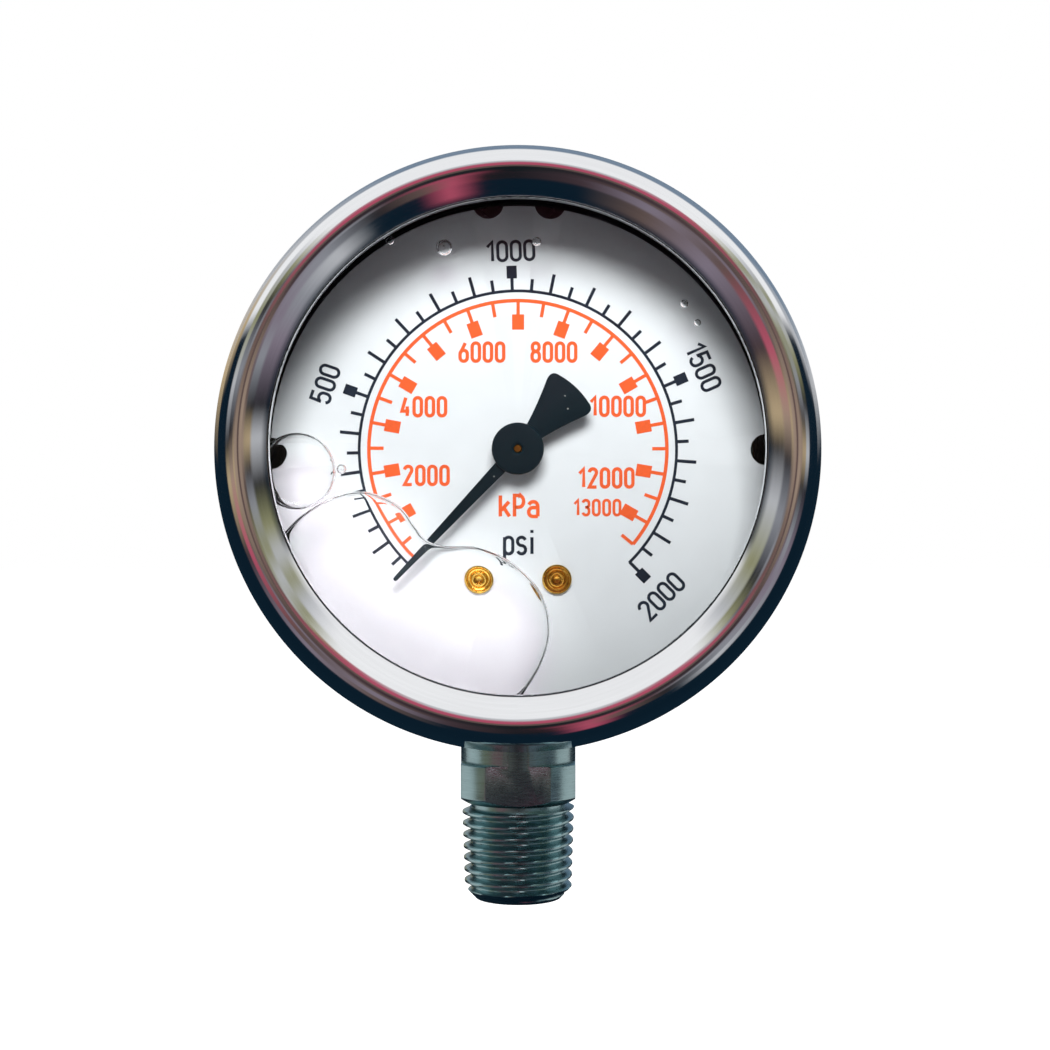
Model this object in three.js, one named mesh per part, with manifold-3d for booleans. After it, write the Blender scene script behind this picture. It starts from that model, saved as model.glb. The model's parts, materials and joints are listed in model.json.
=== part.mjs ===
// A liquid-filled pressure gauge: 63 mm case, bottom connection, coiled Bourdon tube.
// Millimetres, +Z up. The dial faces -Y. The origin is the centre of the stem's end face.
// Clockwise, as read on the dial, is a positive turn about +Y.
import * as THREE from "three";
import { mergeVertices } from "three/addons/utils/BufferGeometryUtils.js";
import Module from "manifold-3d";

const wasm = await Module();
wasm.setup();

const degrees = THREE.MathUtils.degToRad;
const QUARTER = Math.PI / 2;

// ---- Driving dimensions ----------------------------------------------------------------
const CENTRE_Z = 55; // stem's end to the pointer's axis
const BACK_Y = 9.5; // stem's axis to the case's back
const DEPTH = 32; // case's back to the bezel's crest
const CREST_Y = BACK_Y - DEPTH;
const FIT = 0.05; // gap between pieces that touch
const LARGE_SIDES = 40; // facets round the case
const STEM_SIDES = 24; // facets round the stem
const SMALL_SIDES = 12; // facets round a pin or screw

const CASE_R = 31.3;
const CASE_WALL = 0.7;
const CASE_CORNER = 1.5;
const FLANGE_R = 33.2;
const FLANGE_Y = -14.7; // the flange's front face

const BEZEL_R = 33.95; // where the outer round ends
const SKIRT_R = 35.4; // where the bezel is crimped over the flange
const BEZEL_SHEET = 0.9;
const LIP_R = 28.1;
const LIP_DEPTH = 2.1; // from the crest back to the lip
const CREST_R = 31.4;
const ROUND_DEPTH = 3.2; // how far the bezel's outer round runs back from the crest

const WINDOW_R = 32.4;
const WINDOW_THICKNESS = 1.8;
const WINDOW_Y = -16.6; // the window's inner face
const GASKET_INNER_R = 29.3;

const DIAL_R = 29.2;
const DIAL_DROP = 0.45; // how far the disc sits below the axis
const DIAL_THICKNESS = 0.5;
const DIAL_Y = -11.1; // the dial's printed face
const NOTCH_R = 1.85;
const NOTCH_PLACE = 29.3;
const NOTCH_ANGLES = [-90, -7, 7, 90]; // clockwise from the top
const RIVET_X = 4.6;
const RIVET_Z = -15.3; // below the pointer's axis

const POINTER_Y = -13.5; // the pointer plate's front face
const POINTER_PLATE = 0.4;
const POINTER_HUB_R = 3.05;
const POINTER_HUB_Y = -14;
const NEEDLE_LENGTH = 21.2;
const REST_ANGLE = -136.7; // the pointer at no pressure, clockwise from the top

const NECK_R = 7.1;
const ACROSS_FLATS = 14;
const WRENCH_R = 8.05; // the round that the square's corners keep
const WRENCH_Z = [11.9, 17];
const HEAD = { x: 11.5, front: -2.2, back: 7, low: 30, high: 42 };

const THREAD_PITCH = 25.4 / 18;
const THREAD_END_R = 6.6; // crest radius at the stem's end
const THREAD_TAPER = 1 / 32; // radius gained for each millimetre up the stem
const THREAD_DEPTH = 0.85;
const THREAD_LENGTH = 11.2;

const PORT_R = 2.5;
const PORT_DEPTH = 12;
const CHANNEL_R = 1.1;

const MODULE = 0.2;
const PINION_TEETH = 12;
const SECTOR_TEETH = 108; // of the whole circle that the sector is cut from
const GEAR_CENTRES = (MODULE * (PINION_TEETH + SECTOR_TEETH)) / 2;
const SECTOR_X = -3.9;
const SECTOR_Z = -Math.sqrt(GEAR_CENTRES ** 2 - SECTOR_X ** 2);
const MESH_ANGLE = Math.atan2(-SECTOR_Z, -SECTOR_X); // from the sector's pivot to the pinion
const SECTOR_PLATE = { back: -4.6, thickness: 0.8 };
const TAIL_LENGTH = 5.5;
const TAIL_ANGLE = degrees(164.9);

const BACK_PLATE = { back: -2.2, thickness: 1 };
const FRONT_PLATE = { back: -6.8, thickness: 0.8 };
const PLATE_HALF_WIDTH = 7;
const PILLARS = [
  [-5.5, 3.4],
  [5.5, 3.4],
  [5.2, -11.4],
];

const COIL_R = 9.5;
const COIL_PITCH = 3;
const COIL_BACK_Y = 5.4; // centre of the tube where it leaves the socket
const COIL_TURNS = 705 / 360;
const TUBE_HALF = { radial: 0.85, axial: 1.1 };
const TUBE_GAP = 0.25; // round the tube in its sockets
const TUBE_FOOT = 4; // length of tube inside the socket
const TIP_ANGLE = degrees(187.9); // where the link's upper pin stands, anticlockwise from +X

const HAIRSPRING = { y: -3.5, height: 0.5, inner: 1.45, outer: 4.9, turns: 5, strip: 0.12 };

// ---- Solids ----------------------------------------------------------------------------

/** A closed geometry as a solid that can be joined and cut. */
function solid(geometry) {
  const plain = geometry.clone();
  plain.deleteAttribute("normal");
  plain.deleteAttribute("uv");
  const merged = mergeVertices(plain, 1e-4);
  return new wasm.Manifold(
    new wasm.Mesh({
      numProp: 3,
      vertProperties: merged.attributes.position.array,
      triVerts: new Uint32Array(merged.index.array),
    }),
  );
}

/** A solid as a geometry for a mesh. */
function geometryOf(made) {
  const mesh = made.getMesh();
  const geometry = new THREE.BufferGeometry();
  geometry.setAttribute("position", new THREE.BufferAttribute(mesh.vertProperties, 3));
  geometry.setIndex(new THREE.BufferAttribute(mesh.triVerts, 1));
  geometry.computeVertexNormals();
  return geometry;
}

/** The first geometry with the others cut out of it. */
function cut(geometry, ...tools) {
  return geometryOf(tools.reduce((rest, tool) => rest.subtract(solid(tool)), solid(geometry)));
}

/** Geometries joined into one solid. */
function join(...geometries) {
  return geometryOf(geometries.map(solid).reduce((sum, next) => sum.add(next)));
}

/** What two geometries share. */
function common(a, b) {
  return geometryOf(solid(a).intersect(solid(b)));
}

/** A profile of [radius, y] points turned about the Y axis. */
function turned(profile, sides = SMALL_SIDES) {
  const points = profile.map(([radius, y]) => new THREE.Vector2(radius, y));
  return new THREE.LatheGeometry(points, sides);
}

/** A profile of [radius, z] points turned about the Z axis. */
function upright(profile, sides = SMALL_SIDES) {
  return turned(profile, sides).rotateX(QUARTER);
}

/** A plain rod from y = from to y = to, with from below to. */
function rodY(radius, from, to, sides = SMALL_SIDES) {
  return new THREE.CylinderGeometry(radius, radius, to - from, sides).translate(0, (from + to) / 2, 0);
}

/** A plain rod from z = from to z = to, with from below to. */
function rodZ(radius, from, to, sides = SMALL_SIDES) {
  return rodY(radius, from, to, sides).rotateX(QUARTER);
}

/** A box between two corners. */
function box(low, high) {
  const size = high.map((value, i) => value - low[i]);
  const middle = high.map((value, i) => (value + low[i]) / 2);
  return new THREE.BoxGeometry(...size).translate(...middle);
}

/** An outline seen from the front, made a plate from y = back towards the front. */
function plate(outline, back, thickness, curveSegments = 6) {
  const made = new THREE.ExtrudeGeometry(outline, {
    depth: thickness,
    bevelEnabled: false,
    curveSegments,
  });
  return made.rotateX(QUARTER).translate(0, back, 0);
}

/** A round hole for an outline. */
function roundHole(x, z, radius) {
  return new THREE.Path().absarc(x, z, radius, 0, 2 * Math.PI, true);
}

/** A rectangle outline with rounded corners. */
function roundedRectangle(left, right, low, high, radius) {
  const shape = new THREE.Shape();
  shape.absarc(right - radius, low + radius, radius, -QUARTER, 0, false);
  shape.absarc(right - radius, high - radius, radius, 0, QUARTER, false);
  shape.absarc(left + radius, high - radius, radius, QUARTER, Math.PI, false);
  shape.absarc(left + radius, low + radius, radius, Math.PI, 3 * QUARTER, false);
  return shape;
}

/** Points on a quarter of an ellipse, from the end of one half axis to the end of the other. */
function quarterRound(centre, from, to, steps) {
  return Array.from({ length: steps + 1 }, (_, i) => {
    const angle = (QUARTER * i) / steps;
    return centre.map((value, k) => value + from[k] * Math.cos(angle) + to[k] * Math.sin(angle));
  });
}

/** A slotted cheese-head screw with its head's underside at y = 0 and its shank towards +Y. */
function cheeseScrew(headR, headHeight, shankR, shankLength) {
  const body = turned([
    [0, -headHeight],
    [headR, -headHeight],
    [headR, 0],
    [shankR, 0],
    [shankR, shankLength],
    [0, shankLength],
  ]);
  const slot = box(
    [-headR * 1.2, -headHeight * 1.2, -headR * 0.14],
    [headR * 1.2, -headHeight * 0.5, headR * 0.14],
  );
  return cut(body, slot);
}

// ---- Materials -------------------------------------------------------------------------

function material(color, roughness, metalness, options = {}) {
  return new THREE.MeshStandardMaterial({ color, roughness, metalness, ...options });
}

const FINISH = {
  polished: material(0xc9cbcd, 0.12, 1),
  stainless: material(0xa9abad, 0.3, 1),
  stem: material(0x6c7475, 0.32, 1),
  brass: material(0xb98a3c, 0.3, 1),
  steel: material(0x8e9193, 0.25, 1),
  bronze: material(0xa9713f, 0.35, 1),
  black: material(0x10161c, 0.4, 0),
  rubber: material(0x15171a, 0.8, 0),
  enamel: material(0xe3e5e8, 0.5, 0),
  clear: material(0xffffff, 0.05, 0, { transparent: true, opacity: 0.2 }),
};

// ---- Case ------------------------------------------------------------------------------

const CASE_SCREWS = [
  ["case_screw_left", -7.5],
  ["case_screw_right", 7.5],
];
const CASE_SCREW_Z = -21.5;
const CASE_SCREW = { headR: 2.75, headDepth: 1.5, shankR: 1.2, length: 7.8 };
const FILL_HOLE_R = 4;
const FILL_HOLE_Y = -2;
const STEM_HOLE_R = 8;

/** The drawn cup: a flat back, a round wall and a flange for the window. */
function caseShell() {
  const innerR = CASE_R - CASE_WALL;
  const innerBack = BACK_Y - CASE_WALL;
  const centre = [CASE_R - CASE_CORNER, BACK_Y - CASE_CORNER];
  const inner = CASE_CORNER - CASE_WALL;
  let made = turned(
    [
      [0, innerBack],
      ...quarterRound(centre, [0, inner], [inner, 0], 2),
      [innerR, FLANGE_Y],
      [FLANGE_R, FLANGE_Y],
      [FLANGE_R, FLANGE_Y + CASE_WALL],
      [CASE_R, FLANGE_Y + CASE_WALL],
      ...quarterRound(centre, [CASE_CORNER, 0], [0, CASE_CORNER], 3),
      [0, BACK_Y],
    ],
    LARGE_SIDES,
  );
  const { headR, headDepth, shankR } = CASE_SCREW;
  for (const [, x] of CASE_SCREWS) {
    // A conical dimple formed inwards takes the screw's head and stands off the socket.
    const dimple = turned([
      [0, HEAD.back + FIT],
      [shankR + 1, HEAD.back + FIT],
      [headR + 0.8, innerBack + 0.1],
      [0, innerBack + 0.1],
    ]).translate(x, 0, CASE_SCREW_Z);
    const sink = turned([
      [0, BACK_Y - headDepth - FIT],
      [shankR + FIT, BACK_Y - headDepth - FIT],
      [headR + FIT, BACK_Y + 0.01],
      [0, BACK_Y + 0.01],
    ]).translate(x, 0, CASE_SCREW_Z);
    const hole = rodY(shankR + FIT, HEAD.back - 1, BACK_Y).translate(x, 0, CASE_SCREW_Z);
    made = cut(join(made, dimple), sink, hole);
  }
  const stemHole = rodZ(STEM_HOLE_R, -CASE_R - 2, -CASE_R / 2, 24);
  const fillHole = rodZ(FILL_HOLE_R, CASE_R / 2, CASE_R + 2).translate(0, FILL_HOLE_Y, 0);
  return cut(made, stemHole, fillHole);
}

/** The crimped ring: a lip on the window, a slope up to the crest, a round outer edge and a curl. */
function bezel() {
  const outerCentre = [CREST_R, CREST_Y + ROUND_DEPTH];
  const outer = [BEZEL_R - CREST_R, ROUND_DEPTH];
  const inner = outer.map((half) => half - BEZEL_SHEET);
  const lipY = WINDOW_Y - WINDOW_THICKNESS - FIT;
  const curlY = FLANGE_Y + CASE_WALL + FIT;
  return turned(
    [
      [LIP_R, CREST_Y + LIP_DEPTH + 0.2],
      [LIP_R + 0.2, CREST_Y + LIP_DEPTH - 0.1],
      [CREST_R - 0.5, CREST_Y + 0.2],
      ...quarterRound(outerCentre, [0, -outer[1]], [outer[0], 0], 5),
      [SKIRT_R, curlY + 0.3],
      [SKIRT_R - 0.5, curlY + BEZEL_SHEET],
      [CASE_R + 0.5, curlY + BEZEL_SHEET],
      [CASE_R + 0.5, curlY],
      [SKIRT_R - BEZEL_SHEET, curlY],
      ...quarterRound(outerCentre, [inner[0], 0], [0, -inner[1]], 3),
      [LIP_R + 0.9, lipY],
      [LIP_R, lipY],
      [LIP_R, CREST_Y + LIP_DEPTH + 0.2],
    ],
    LARGE_SIDES,
  );
}

function flatWindow() {
  return turned(
    [
      [0, WINDOW_Y - WINDOW_THICKNESS],
      [WINDOW_R - 0.3, WINDOW_Y - WINDOW_THICKNESS],
      [WINDOW_R, WINDOW_Y - WINDOW_THICKNESS + 0.3],
      [WINDOW_R, WINDOW_Y],
      [0, WINDOW_Y],
    ],
    LARGE_SIDES,
  );
}

function windowGasket() {
  return turned(
    [
      [GASKET_INNER_R, WINDOW_Y + FIT],
      [WINDOW_R, WINDOW_Y + FIT],
      [WINDOW_R, FLANGE_Y - FIT],
      [GASKET_INNER_R, FLANGE_Y - FIT],
      [GASKET_INNER_R, WINDOW_Y + FIT],
    ],
    LARGE_SIDES,
  );
}

/** The rubber plug of the fill hole, a mushroom whose head is saddled to the wall. */
function fillPlug() {
  const body = upright(
    [
      [0, CASE_R - 2.6],
      [FILL_HOLE_R - 0.8, CASE_R - 2.6],
      [FILL_HOLE_R + 0.6, CASE_R - 1.5],
      [FILL_HOLE_R - FIT, CASE_R - 1.2],
      [FILL_HOLE_R - FIT, CASE_R - 0.6],
      [FILL_HOLE_R + 1, CASE_R - 0.6],
      [FILL_HOLE_R + 1, CASE_R + 0.9],
      [FILL_HOLE_R + 0.4, CASE_R + 1.5],
      [0, CASE_R + 1.7],
    ],
    20,
  ).translate(0, FILL_HOLE_Y, 0);
  const wall = cut(
    rodY(CASE_R + FIT, -12, 8, LARGE_SIDES),
    rodY(CASE_R - CASE_WALL - FIT, -13, 9, LARGE_SIDES),
    rodZ(FILL_HOLE_R - FIT, CASE_R / 2, CASE_R + 2).translate(0, FILL_HOLE_Y, 0),
  );
  return cut(body, wall);
}

/** A countersunk case screw with its head's face at y = 0 and its shank towards -Y. */
function caseScrew() {
  const { headR, headDepth, shankR, length } = CASE_SCREW;
  const body = turned([
    [0, -length],
    [shankR, -length],
    [shankR, -headDepth],
    [headR, 0],
    [0, 0],
  ]);
  return cut(
    body,
    box([-headR * 0.62, -0.7, -0.3], [headR * 0.62, 0.2, 0.3]),
    box([-0.3, -0.7, -headR * 0.62], [0.3, 0.2, headR * 0.62]),
  );
}

// ---- Socket ----------------------------------------------------------------------------

/** A tapered pipe thread as a rod whose radius follows the helix. */
function pipeThread() {
  const rows = Math.round((THREAD_LENGTH / THREAD_PITCH) * 4);
  const rod = new THREE.CylinderGeometry(1, 1, THREAD_LENGTH, STEM_SIDES, rows).rotateX(QUARTER);
  rod.translate(0, 0, THREAD_LENGTH / 2);
  const position = rod.attributes.position;
  for (let i = 0; i < position.count; i++) {
    const x = position.getX(i);
    const y = position.getY(i);
    const z = position.getZ(i);
    if (Math.hypot(x, y) < 0.5) continue;
    const phase = z / THREAD_PITCH - Math.atan2(y, x) / (2 * Math.PI);
    const ridge = 0.5 + 0.5 * Math.cos(2 * Math.PI * phase);
    const radius = THREAD_END_R + z * THREAD_TAPER - THREAD_DEPTH * (1 - ridge);
    position.setXY(i, (x / Math.hypot(x, y)) * radius, (y / Math.hypot(x, y)) * radius);
  }
  const pointed = upright(
    [
      [0, 0],
      [THREAD_END_R - 1.3, 0],
      [THREAD_END_R + 0.1, 1.5],
      [THREAD_END_R + 1, THREAD_LENGTH],
      [0, THREAD_LENGTH],
    ],
    STEM_SIDES,
  );
  return common(rod, pointed);
}

/** The square for a spanner, its corners rounded and chamfered at both ends. */
function wrenchSquare() {
  const [low, high] = WRENCH_Z;
  const round = upright(
    [
      [0, low],
      [NECK_R - 0.6, low],
      [WRENCH_R, low + 0.9],
      [WRENCH_R, high - 0.25],
      [WRENCH_R - 0.4, high],
      [0, high],
    ],
    STEM_SIDES,
  );
  const half = ACROSS_FLATS / 2;
  return common(round, box([-half, -half, low - 1], [half, half, high + 1]));
}

/** The stem and head in one piece, with the port and the channel to the Bourdon tube. */
function socket() {
  const neckLow = THREAD_LENGTH - 0.3;
  const neck = upright(
    [
      [0, neckLow],
      [THREAD_END_R - 0.75, neckLow],
      [THREAD_END_R - 0.75, WRENCH_Z[1] - 0.3],
      [NECK_R, WRENCH_Z[1] - 0.3],
      [NECK_R, HEAD.low + 0.5],
      [0, HEAD.low + 0.5],
    ],
    STEM_SIDES,
  );
  const head = box([-HEAD.x, HEAD.front, HEAD.low], [HEAD.x, HEAD.back, HEAD.high]);
  const channelTop = HEAD.high - TUBE_FOOT - 2;
  const foot = new THREE.Vector3(-COIL_R, COIL_BACK_Y, HEAD.high - TUBE_FOOT - 0.2);
  const corner = new THREE.Vector3(0, 0, channelTop - 0.5);
  const drilled = new THREE.CylinderGeometry(0.5, 0.5, foot.distanceTo(corner), 8)
    .applyQuaternion(
      new THREE.Quaternion().setFromUnitVectors(
        new THREE.Vector3(0, 1, 0),
        foot.clone().sub(corner).normalize(),
      ),
    )
    .translate(...foot.clone().add(corner).multiplyScalar(0.5).toArray());
  const pocket = rodZ(1, HEAD.high - TUBE_FOOT - 0.1, HEAD.high + 1)
    .scale(TUBE_HALF.radial + TUBE_GAP, TUBE_HALF.axial + TUBE_GAP, 1)
    .translate(-COIL_R, COIL_BACK_Y, 0);
  const cuts = [
    rodZ(PORT_R, -1, PORT_DEPTH, 24),
    rodZ(CHANNEL_R, PORT_DEPTH - 1, channelTop),
    drilled,
    pocket,
  ];
  for (const [, x] of CASE_SCREWS) {
    const from = BACK_Y - CASE_SCREW.length - 0.3;
    cuts.push(rodY(CASE_SCREW.shankR + FIT, from, HEAD.back + 1).translate(x, 0, CENTRE_Z + CASE_SCREW_Z));
  }
  for (const x of [-RIVET_X, RIVET_X])
    cuts.push(
      rodY(POST.studR + FIT, HEAD.front - 1, POST.studEnd + 0.2).translate(x, 0, CENTRE_Z + RIVET_Z),
    );
  for (const [, z] of MOVEMENT_SCREWS)
    cuts.push(rodY(MOVEMENT_SCREW.shankR + FIT, HEAD.front - 1, HEAD.front + 4).translate(0, 0, CENTRE_Z + z));
  return cut(join(pipeThread(), wrenchSquare(), neck, head), ...cuts);
}

/** The throttle screw in the port: a slotted plug with a fine bore. */
function restrictor() {
  const outer = PORT_R - 0.1;
  const body = upright([
    [0.5, PORT_DEPTH - 3],
    [outer, PORT_DEPTH - 3],
    [outer, PORT_DEPTH - FIT],
    [0.5, PORT_DEPTH - FIT],
    [0.5, PORT_DEPTH - 3],
  ]);
  return cut(body, box([-outer - 1, -0.4, PORT_DEPTH - 4], [outer + 1, 0.4, PORT_DEPTH - 2.2]));
}

/** The rubber ring between the stem and the case's wall. */
function stemSeal() {
  const low = CENTRE_Z - CASE_R - 0.9;
  const high = CENTRE_Z - CASE_R + 2.6;
  return upright(
    [
      [NECK_R + FIT, low],
      [STEM_HOLE_R - FIT - 0.3, low],
      [STEM_HOLE_R - 2 * FIT, low + 0.5],
      [STEM_HOLE_R - 2 * FIT, high],
      [NECK_R + FIT, high],
      [NECK_R + FIT, low],
    ],
    STEM_SIDES,
  );
}

// ---- Bourdon tube ----------------------------------------------------------------------

/** Up from the socket, then clockwise round the coil while moving to the front. */
class TubePath extends THREE.Curve {
  getPoint(t, target = new THREE.Vector3()) {
    const straight = CENTRE_Z - HEAD.high + TUBE_FOOT;
    const round = 2 * Math.PI * COIL_R * COIL_TURNS;
    const along = t * (straight + round) - straight;
    if (along < 0) return target.set(-COIL_R, COIL_BACK_Y, along);
    const angle = Math.PI - along / COIL_R;
    const y = COIL_BACK_Y - (COIL_PITCH * along) / (2 * Math.PI * COIL_R);
    return target.set(COIL_R * Math.cos(angle), y, COIL_R * Math.sin(angle));
  }
}

function bourdonTube() {
  const section = new THREE.Shape().absellipse(
    0, 0, TUBE_HALF.axial, TUBE_HALF.radial, 0, 2 * Math.PI, false, 0,
  );
  return new THREE.ExtrudeGeometry(section, {
    extrudePath: new TubePath(),
    steps: 64,
    curveSegments: 4,
    bevelEnabled: false,
  });
}

const END_ANGLE = Math.PI - 2 * Math.PI * COIL_TURNS;
const END_Y = COIL_BACK_Y - COIL_PITCH * COIL_TURNS;

/** The cap on the tube's free end, with a post that carries the link. */
function tubeEndCap() {
  const back = END_Y + TUBE_HALF.axial + 0.35;
  const front = END_Y - TUBE_HALF.axial - 0.5;
  const postX = COIL_R * Math.cos(TIP_ANGLE - END_ANGLE);
  const postZ = COIL_R * Math.sin(TIP_ANGLE - END_ANGLE);
  // Here the tube's end lies on +X and runs along -Z. The pieces are turned to its place below.
  const capped = box([COIL_R - 1.5, front, -2.2], [COIL_R + 1.5, back, 1.4]);
  const bore = rodZ(1, 0, 3)
    .scale(TUBE_HALF.radial + TUBE_GAP, TUBE_HALF.axial + TUBE_GAP, 1)
    .translate(COIL_R, END_Y, -0.15);
  const post = rodY(1.1, SECTOR_PLATE.back - SECTOR_PLATE.thickness, front + 0.2).translate(postX, 0, postZ);
  const pinHole = rodY(LINK_PIN_R + 0.05, -8, front - 0.4).translate(postX, 0, postZ);
  return cut(join(cut(capped, bore), post), pinHole).rotateY(-END_ANGLE);
}

// ---- Gears -----------------------------------------------------------------------------

/** [radius, half angle] down one flank of an involute tooth, from tip to root. */
function toothFlank(teeth, addendum, dedendum) {
  const pitchR = (MODULE * teeth) / 2;
  const pressure = degrees(20);
  const baseR = pitchR * Math.cos(pressure);
  const involute = (angle) => Math.tan(angle) - angle;
  const thickness = MODULE * 1.33; // a little under half the pitch, which leaves backlash
  const half = (radius) => {
    const angle = Math.acos(Math.min(1, baseR / radius));
    return thickness / 2 / pitchR + involute(pressure) - involute(angle);
  };
  const tip = pitchR + addendum * MODULE;
  const root = pitchR - dedendum * MODULE;
  return [tip, (tip + pitchR) / 2, pitchR, Math.max(baseR, root + 0.02), root].map((radius) => [
    radius,
    half(radius),
  ]);
}

/** Outline points of teeth centred at the given angles, anticlockwise. */
function toothedArc(angles, flank) {
  return angles.flatMap((angle) =>
    [...flank.toReversed().map(([r, half]) => [r, angle - half]), ...flank.map(([r, half]) => [r, angle + half])].map(
      ([r, a]) => new THREE.Vector2(r * Math.cos(a), r * Math.sin(a)),
    ),
  );
}

/** The pinion and its arbor: a back pivot, the teeth, a front pivot and the pointer's shaft. */
function pinion() {
  const step = (2 * Math.PI) / PINION_TEETH;
  const first = MESH_ANGLE + Math.PI + step / 2;
  const angles = Array.from({ length: PINION_TEETH }, (_, i) => first + i * step);
  const outline = new THREE.Shape(toothedArc(angles, toothFlank(PINION_TEETH, 0.9, 1.25)));
  const arbor = turned([
    [0, POINTER_HUB_Y - 0.05],
    [0.4, POINTER_HUB_Y - 0.05],
    [0.45, POINTER_HUB_Y + 0.3],
    [0.62, FRONT_PLATE.back + 0.1],
    [0.85, FRONT_PLATE.back + 0.1],
    [0.85, BACK_PLATE.back - BACK_PLATE.thickness - 0.1],
    [0.4, BACK_PLATE.back - BACK_PLATE.thickness - 0.1],
    [0.4, BACK_PLATE.back],
    [0, BACK_PLATE.back],
  ]);
  return join(plate(outline, -4.25, 2.2), arbor);
}

/** The toothed sector with its hub, a window in its web and the tail that the link pulls. */
function sectorGear() {
  const step = (2 * Math.PI) / SECTOR_TEETH;
  const angles = Array.from({ length: 14 }, (_, i) => MESH_ANGLE + (i - 11) * step);
  const flank = toothFlank(SECTOR_TEETH, 0.7, 1.2);
  const root = flank.at(-1)[0];
  const low = angles[0] - step;
  const high = angles.at(-1) + step;
  const outline = new THREE.Shape();
  outline.absarc(0, 0, 2, high + 0.9, low - 0.9 + 2 * Math.PI, false);
  outline.lineTo(root * Math.cos(low), root * Math.sin(low));
  for (const point of toothedArc(angles, flank)) outline.lineTo(point.x, point.y);
  outline.lineTo(root * Math.cos(high), root * Math.sin(high));
  outline.holes.push(roundHole(0, 0, ARBOR_R + FIT));
  const opening = new THREE.Path();
  opening.absarc(0, 0, 8.9, low + 0.16, high - 0.16, false);
  opening.absarc(0, 0, 3.6, high - 0.24, low + 0.24, true);
  outline.holes.push(opening);
  const web = plate(outline, 0, SECTOR_PLATE.thickness);
  const end = [TAIL_LENGTH * Math.cos(TAIL_ANGLE), TAIL_LENGTH * Math.sin(TAIL_ANGLE)];
  const tail = plate(eyeBar([0, 0], end, 1.1, 1.15, 0, 0), 0, SECTOR_PLATE.thickness);
  const thickness = SECTOR_PLATE.thickness;
  const pinHole = rodY(LINK_PIN_R + FIT, -thickness - 1, 1).translate(end[0], 0, end[1]);
  const arborHole = rodY(ARBOR_R + FIT, -thickness - 1, 1);
  return cut(join(web, tail), pinHole, arborHole);
}

/** Two round eyes joined by a bar, each with a hole unless its radius is 0. */
function eyeBar(from, to, halfBar, eyeR, holeFrom, holeTo) {
  const along = Math.atan2(to[1] - from[1], to[0] - from[0]);
  const spread = Math.asin(halfBar / eyeR);
  const outline = new THREE.Shape();
  outline.absarc(...to, eyeR, along - Math.PI + spread, along + Math.PI - spread, false);
  outline.absarc(...from, eyeR, along + spread, along + 2 * Math.PI - spread, false);
  if (holeFrom) outline.holes.push(roundHole(...from, holeFrom));
  if (holeTo) outline.holes.push(roundHole(...to, holeTo));
  return outline;
}

const ARBOR_R = 0.7;

function sectorArbor() {
  const low = FRONT_PLATE.back - FRONT_PLATE.thickness;
  const backFace = BACK_PLATE.back - BACK_PLATE.thickness;
  return turned([
    [0, low],
    [0.4, low],
    [0.4, FRONT_PLATE.back + 0.1],
    [ARBOR_R, FRONT_PLATE.back + 0.1],
    [ARBOR_R, backFace - 0.1],
    [0.4, backFace - 0.1],
    [0.4, BACK_PLATE.back],
    [0, BACK_PLATE.back],
  ]);
}

// ---- Link ------------------------------------------------------------------------------

const LINK_PIN_R = 0.35;
const LINK_BACK_Y = SECTOR_PLATE.back - SECTOR_PLATE.thickness - 0.1;
const LINK_THICKNESS = 0.6;
const LINK_LOW = [
  SECTOR_X + TAIL_LENGTH * Math.cos(TAIL_ANGLE),
  SECTOR_Z + TAIL_LENGTH * Math.sin(TAIL_ANGLE),
];
const LINK_HIGH = [COIL_R * Math.cos(TIP_ANGLE), COIL_R * Math.sin(TIP_ANGLE)];

function link() {
  const outline = eyeBar(LINK_LOW, LINK_HIGH, 0.6, 1, LINK_PIN_R + 0.1, LINK_PIN_R + 0.2);
  return plate(outline, LINK_BACK_Y, LINK_THICKNESS);
}

// ---- Movement frame --------------------------------------------------------------------

const MOVEMENT_SCREWS = [
  ["movement_screw_upper", -16.6],
  ["movement_screw_lower", -20.4],
];
const MOVEMENT_SCREW = { headR: 1.5, headHeight: 1, shankR: 0.75, length: 4.4 };
const TONGUE = { halfWidth: 2.5, low: -22.5, top: -13.6 };
const PILLAR_R = 1.1;
const STUD = [5.45, 0];

/** The back plate: the wide part of the movement and a tongue that is screwed to the socket. */
function backPlate() {
  const wide = roundedRectangle(-PLATE_HALF_WIDTH, PLATE_HALF_WIDTH, TONGUE.top, 5.4, 1.2);
  wide.holes.push(roundHole(0, 0, 0.48), roundHole(SECTOR_X, SECTOR_Z, 0.48));
  const tongue = roundedRectangle(-TONGUE.halfWidth, TONGUE.halfWidth, TONGUE.low, TONGUE.top + 2, 0.8);
  for (const [, z] of MOVEMENT_SCREWS)
    tongue.holes.push(roundHole(0, z, MOVEMENT_SCREW.shankR + FIT));
  const { back, thickness } = BACK_PLATE;
  return join(plate(wide, back, thickness), plate(tongue, back, thickness));
}

/** The front plate, on the pillars, with the front bearings. */
function frontPlate() {
  const outline = roundedRectangle(-PLATE_HALF_WIDTH, PLATE_HALF_WIDTH, -13.1, 5.4, 1.2);
  outline.holes.push(roundHole(0, 0, 0.7), roundHole(SECTOR_X, SECTOR_Z, 0.48));
  for (const [x, z] of PILLARS) outline.holes.push(roundHole(x, z, 0.55 + FIT));
  return plate(outline, FRONT_PLATE.back, FRONT_PLATE.thickness);
}

/** A pillar between the plates, bored at the front for its screw. */
function pillar() {
  const back = BACK_PLATE.back - BACK_PLATE.thickness - FIT;
  const front = FRONT_PLATE.back + FIT;
  return cut(rodY(PILLAR_R, front, back), rodY(0.55 + FIT, front - 1, front + 2.2));
}

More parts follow.
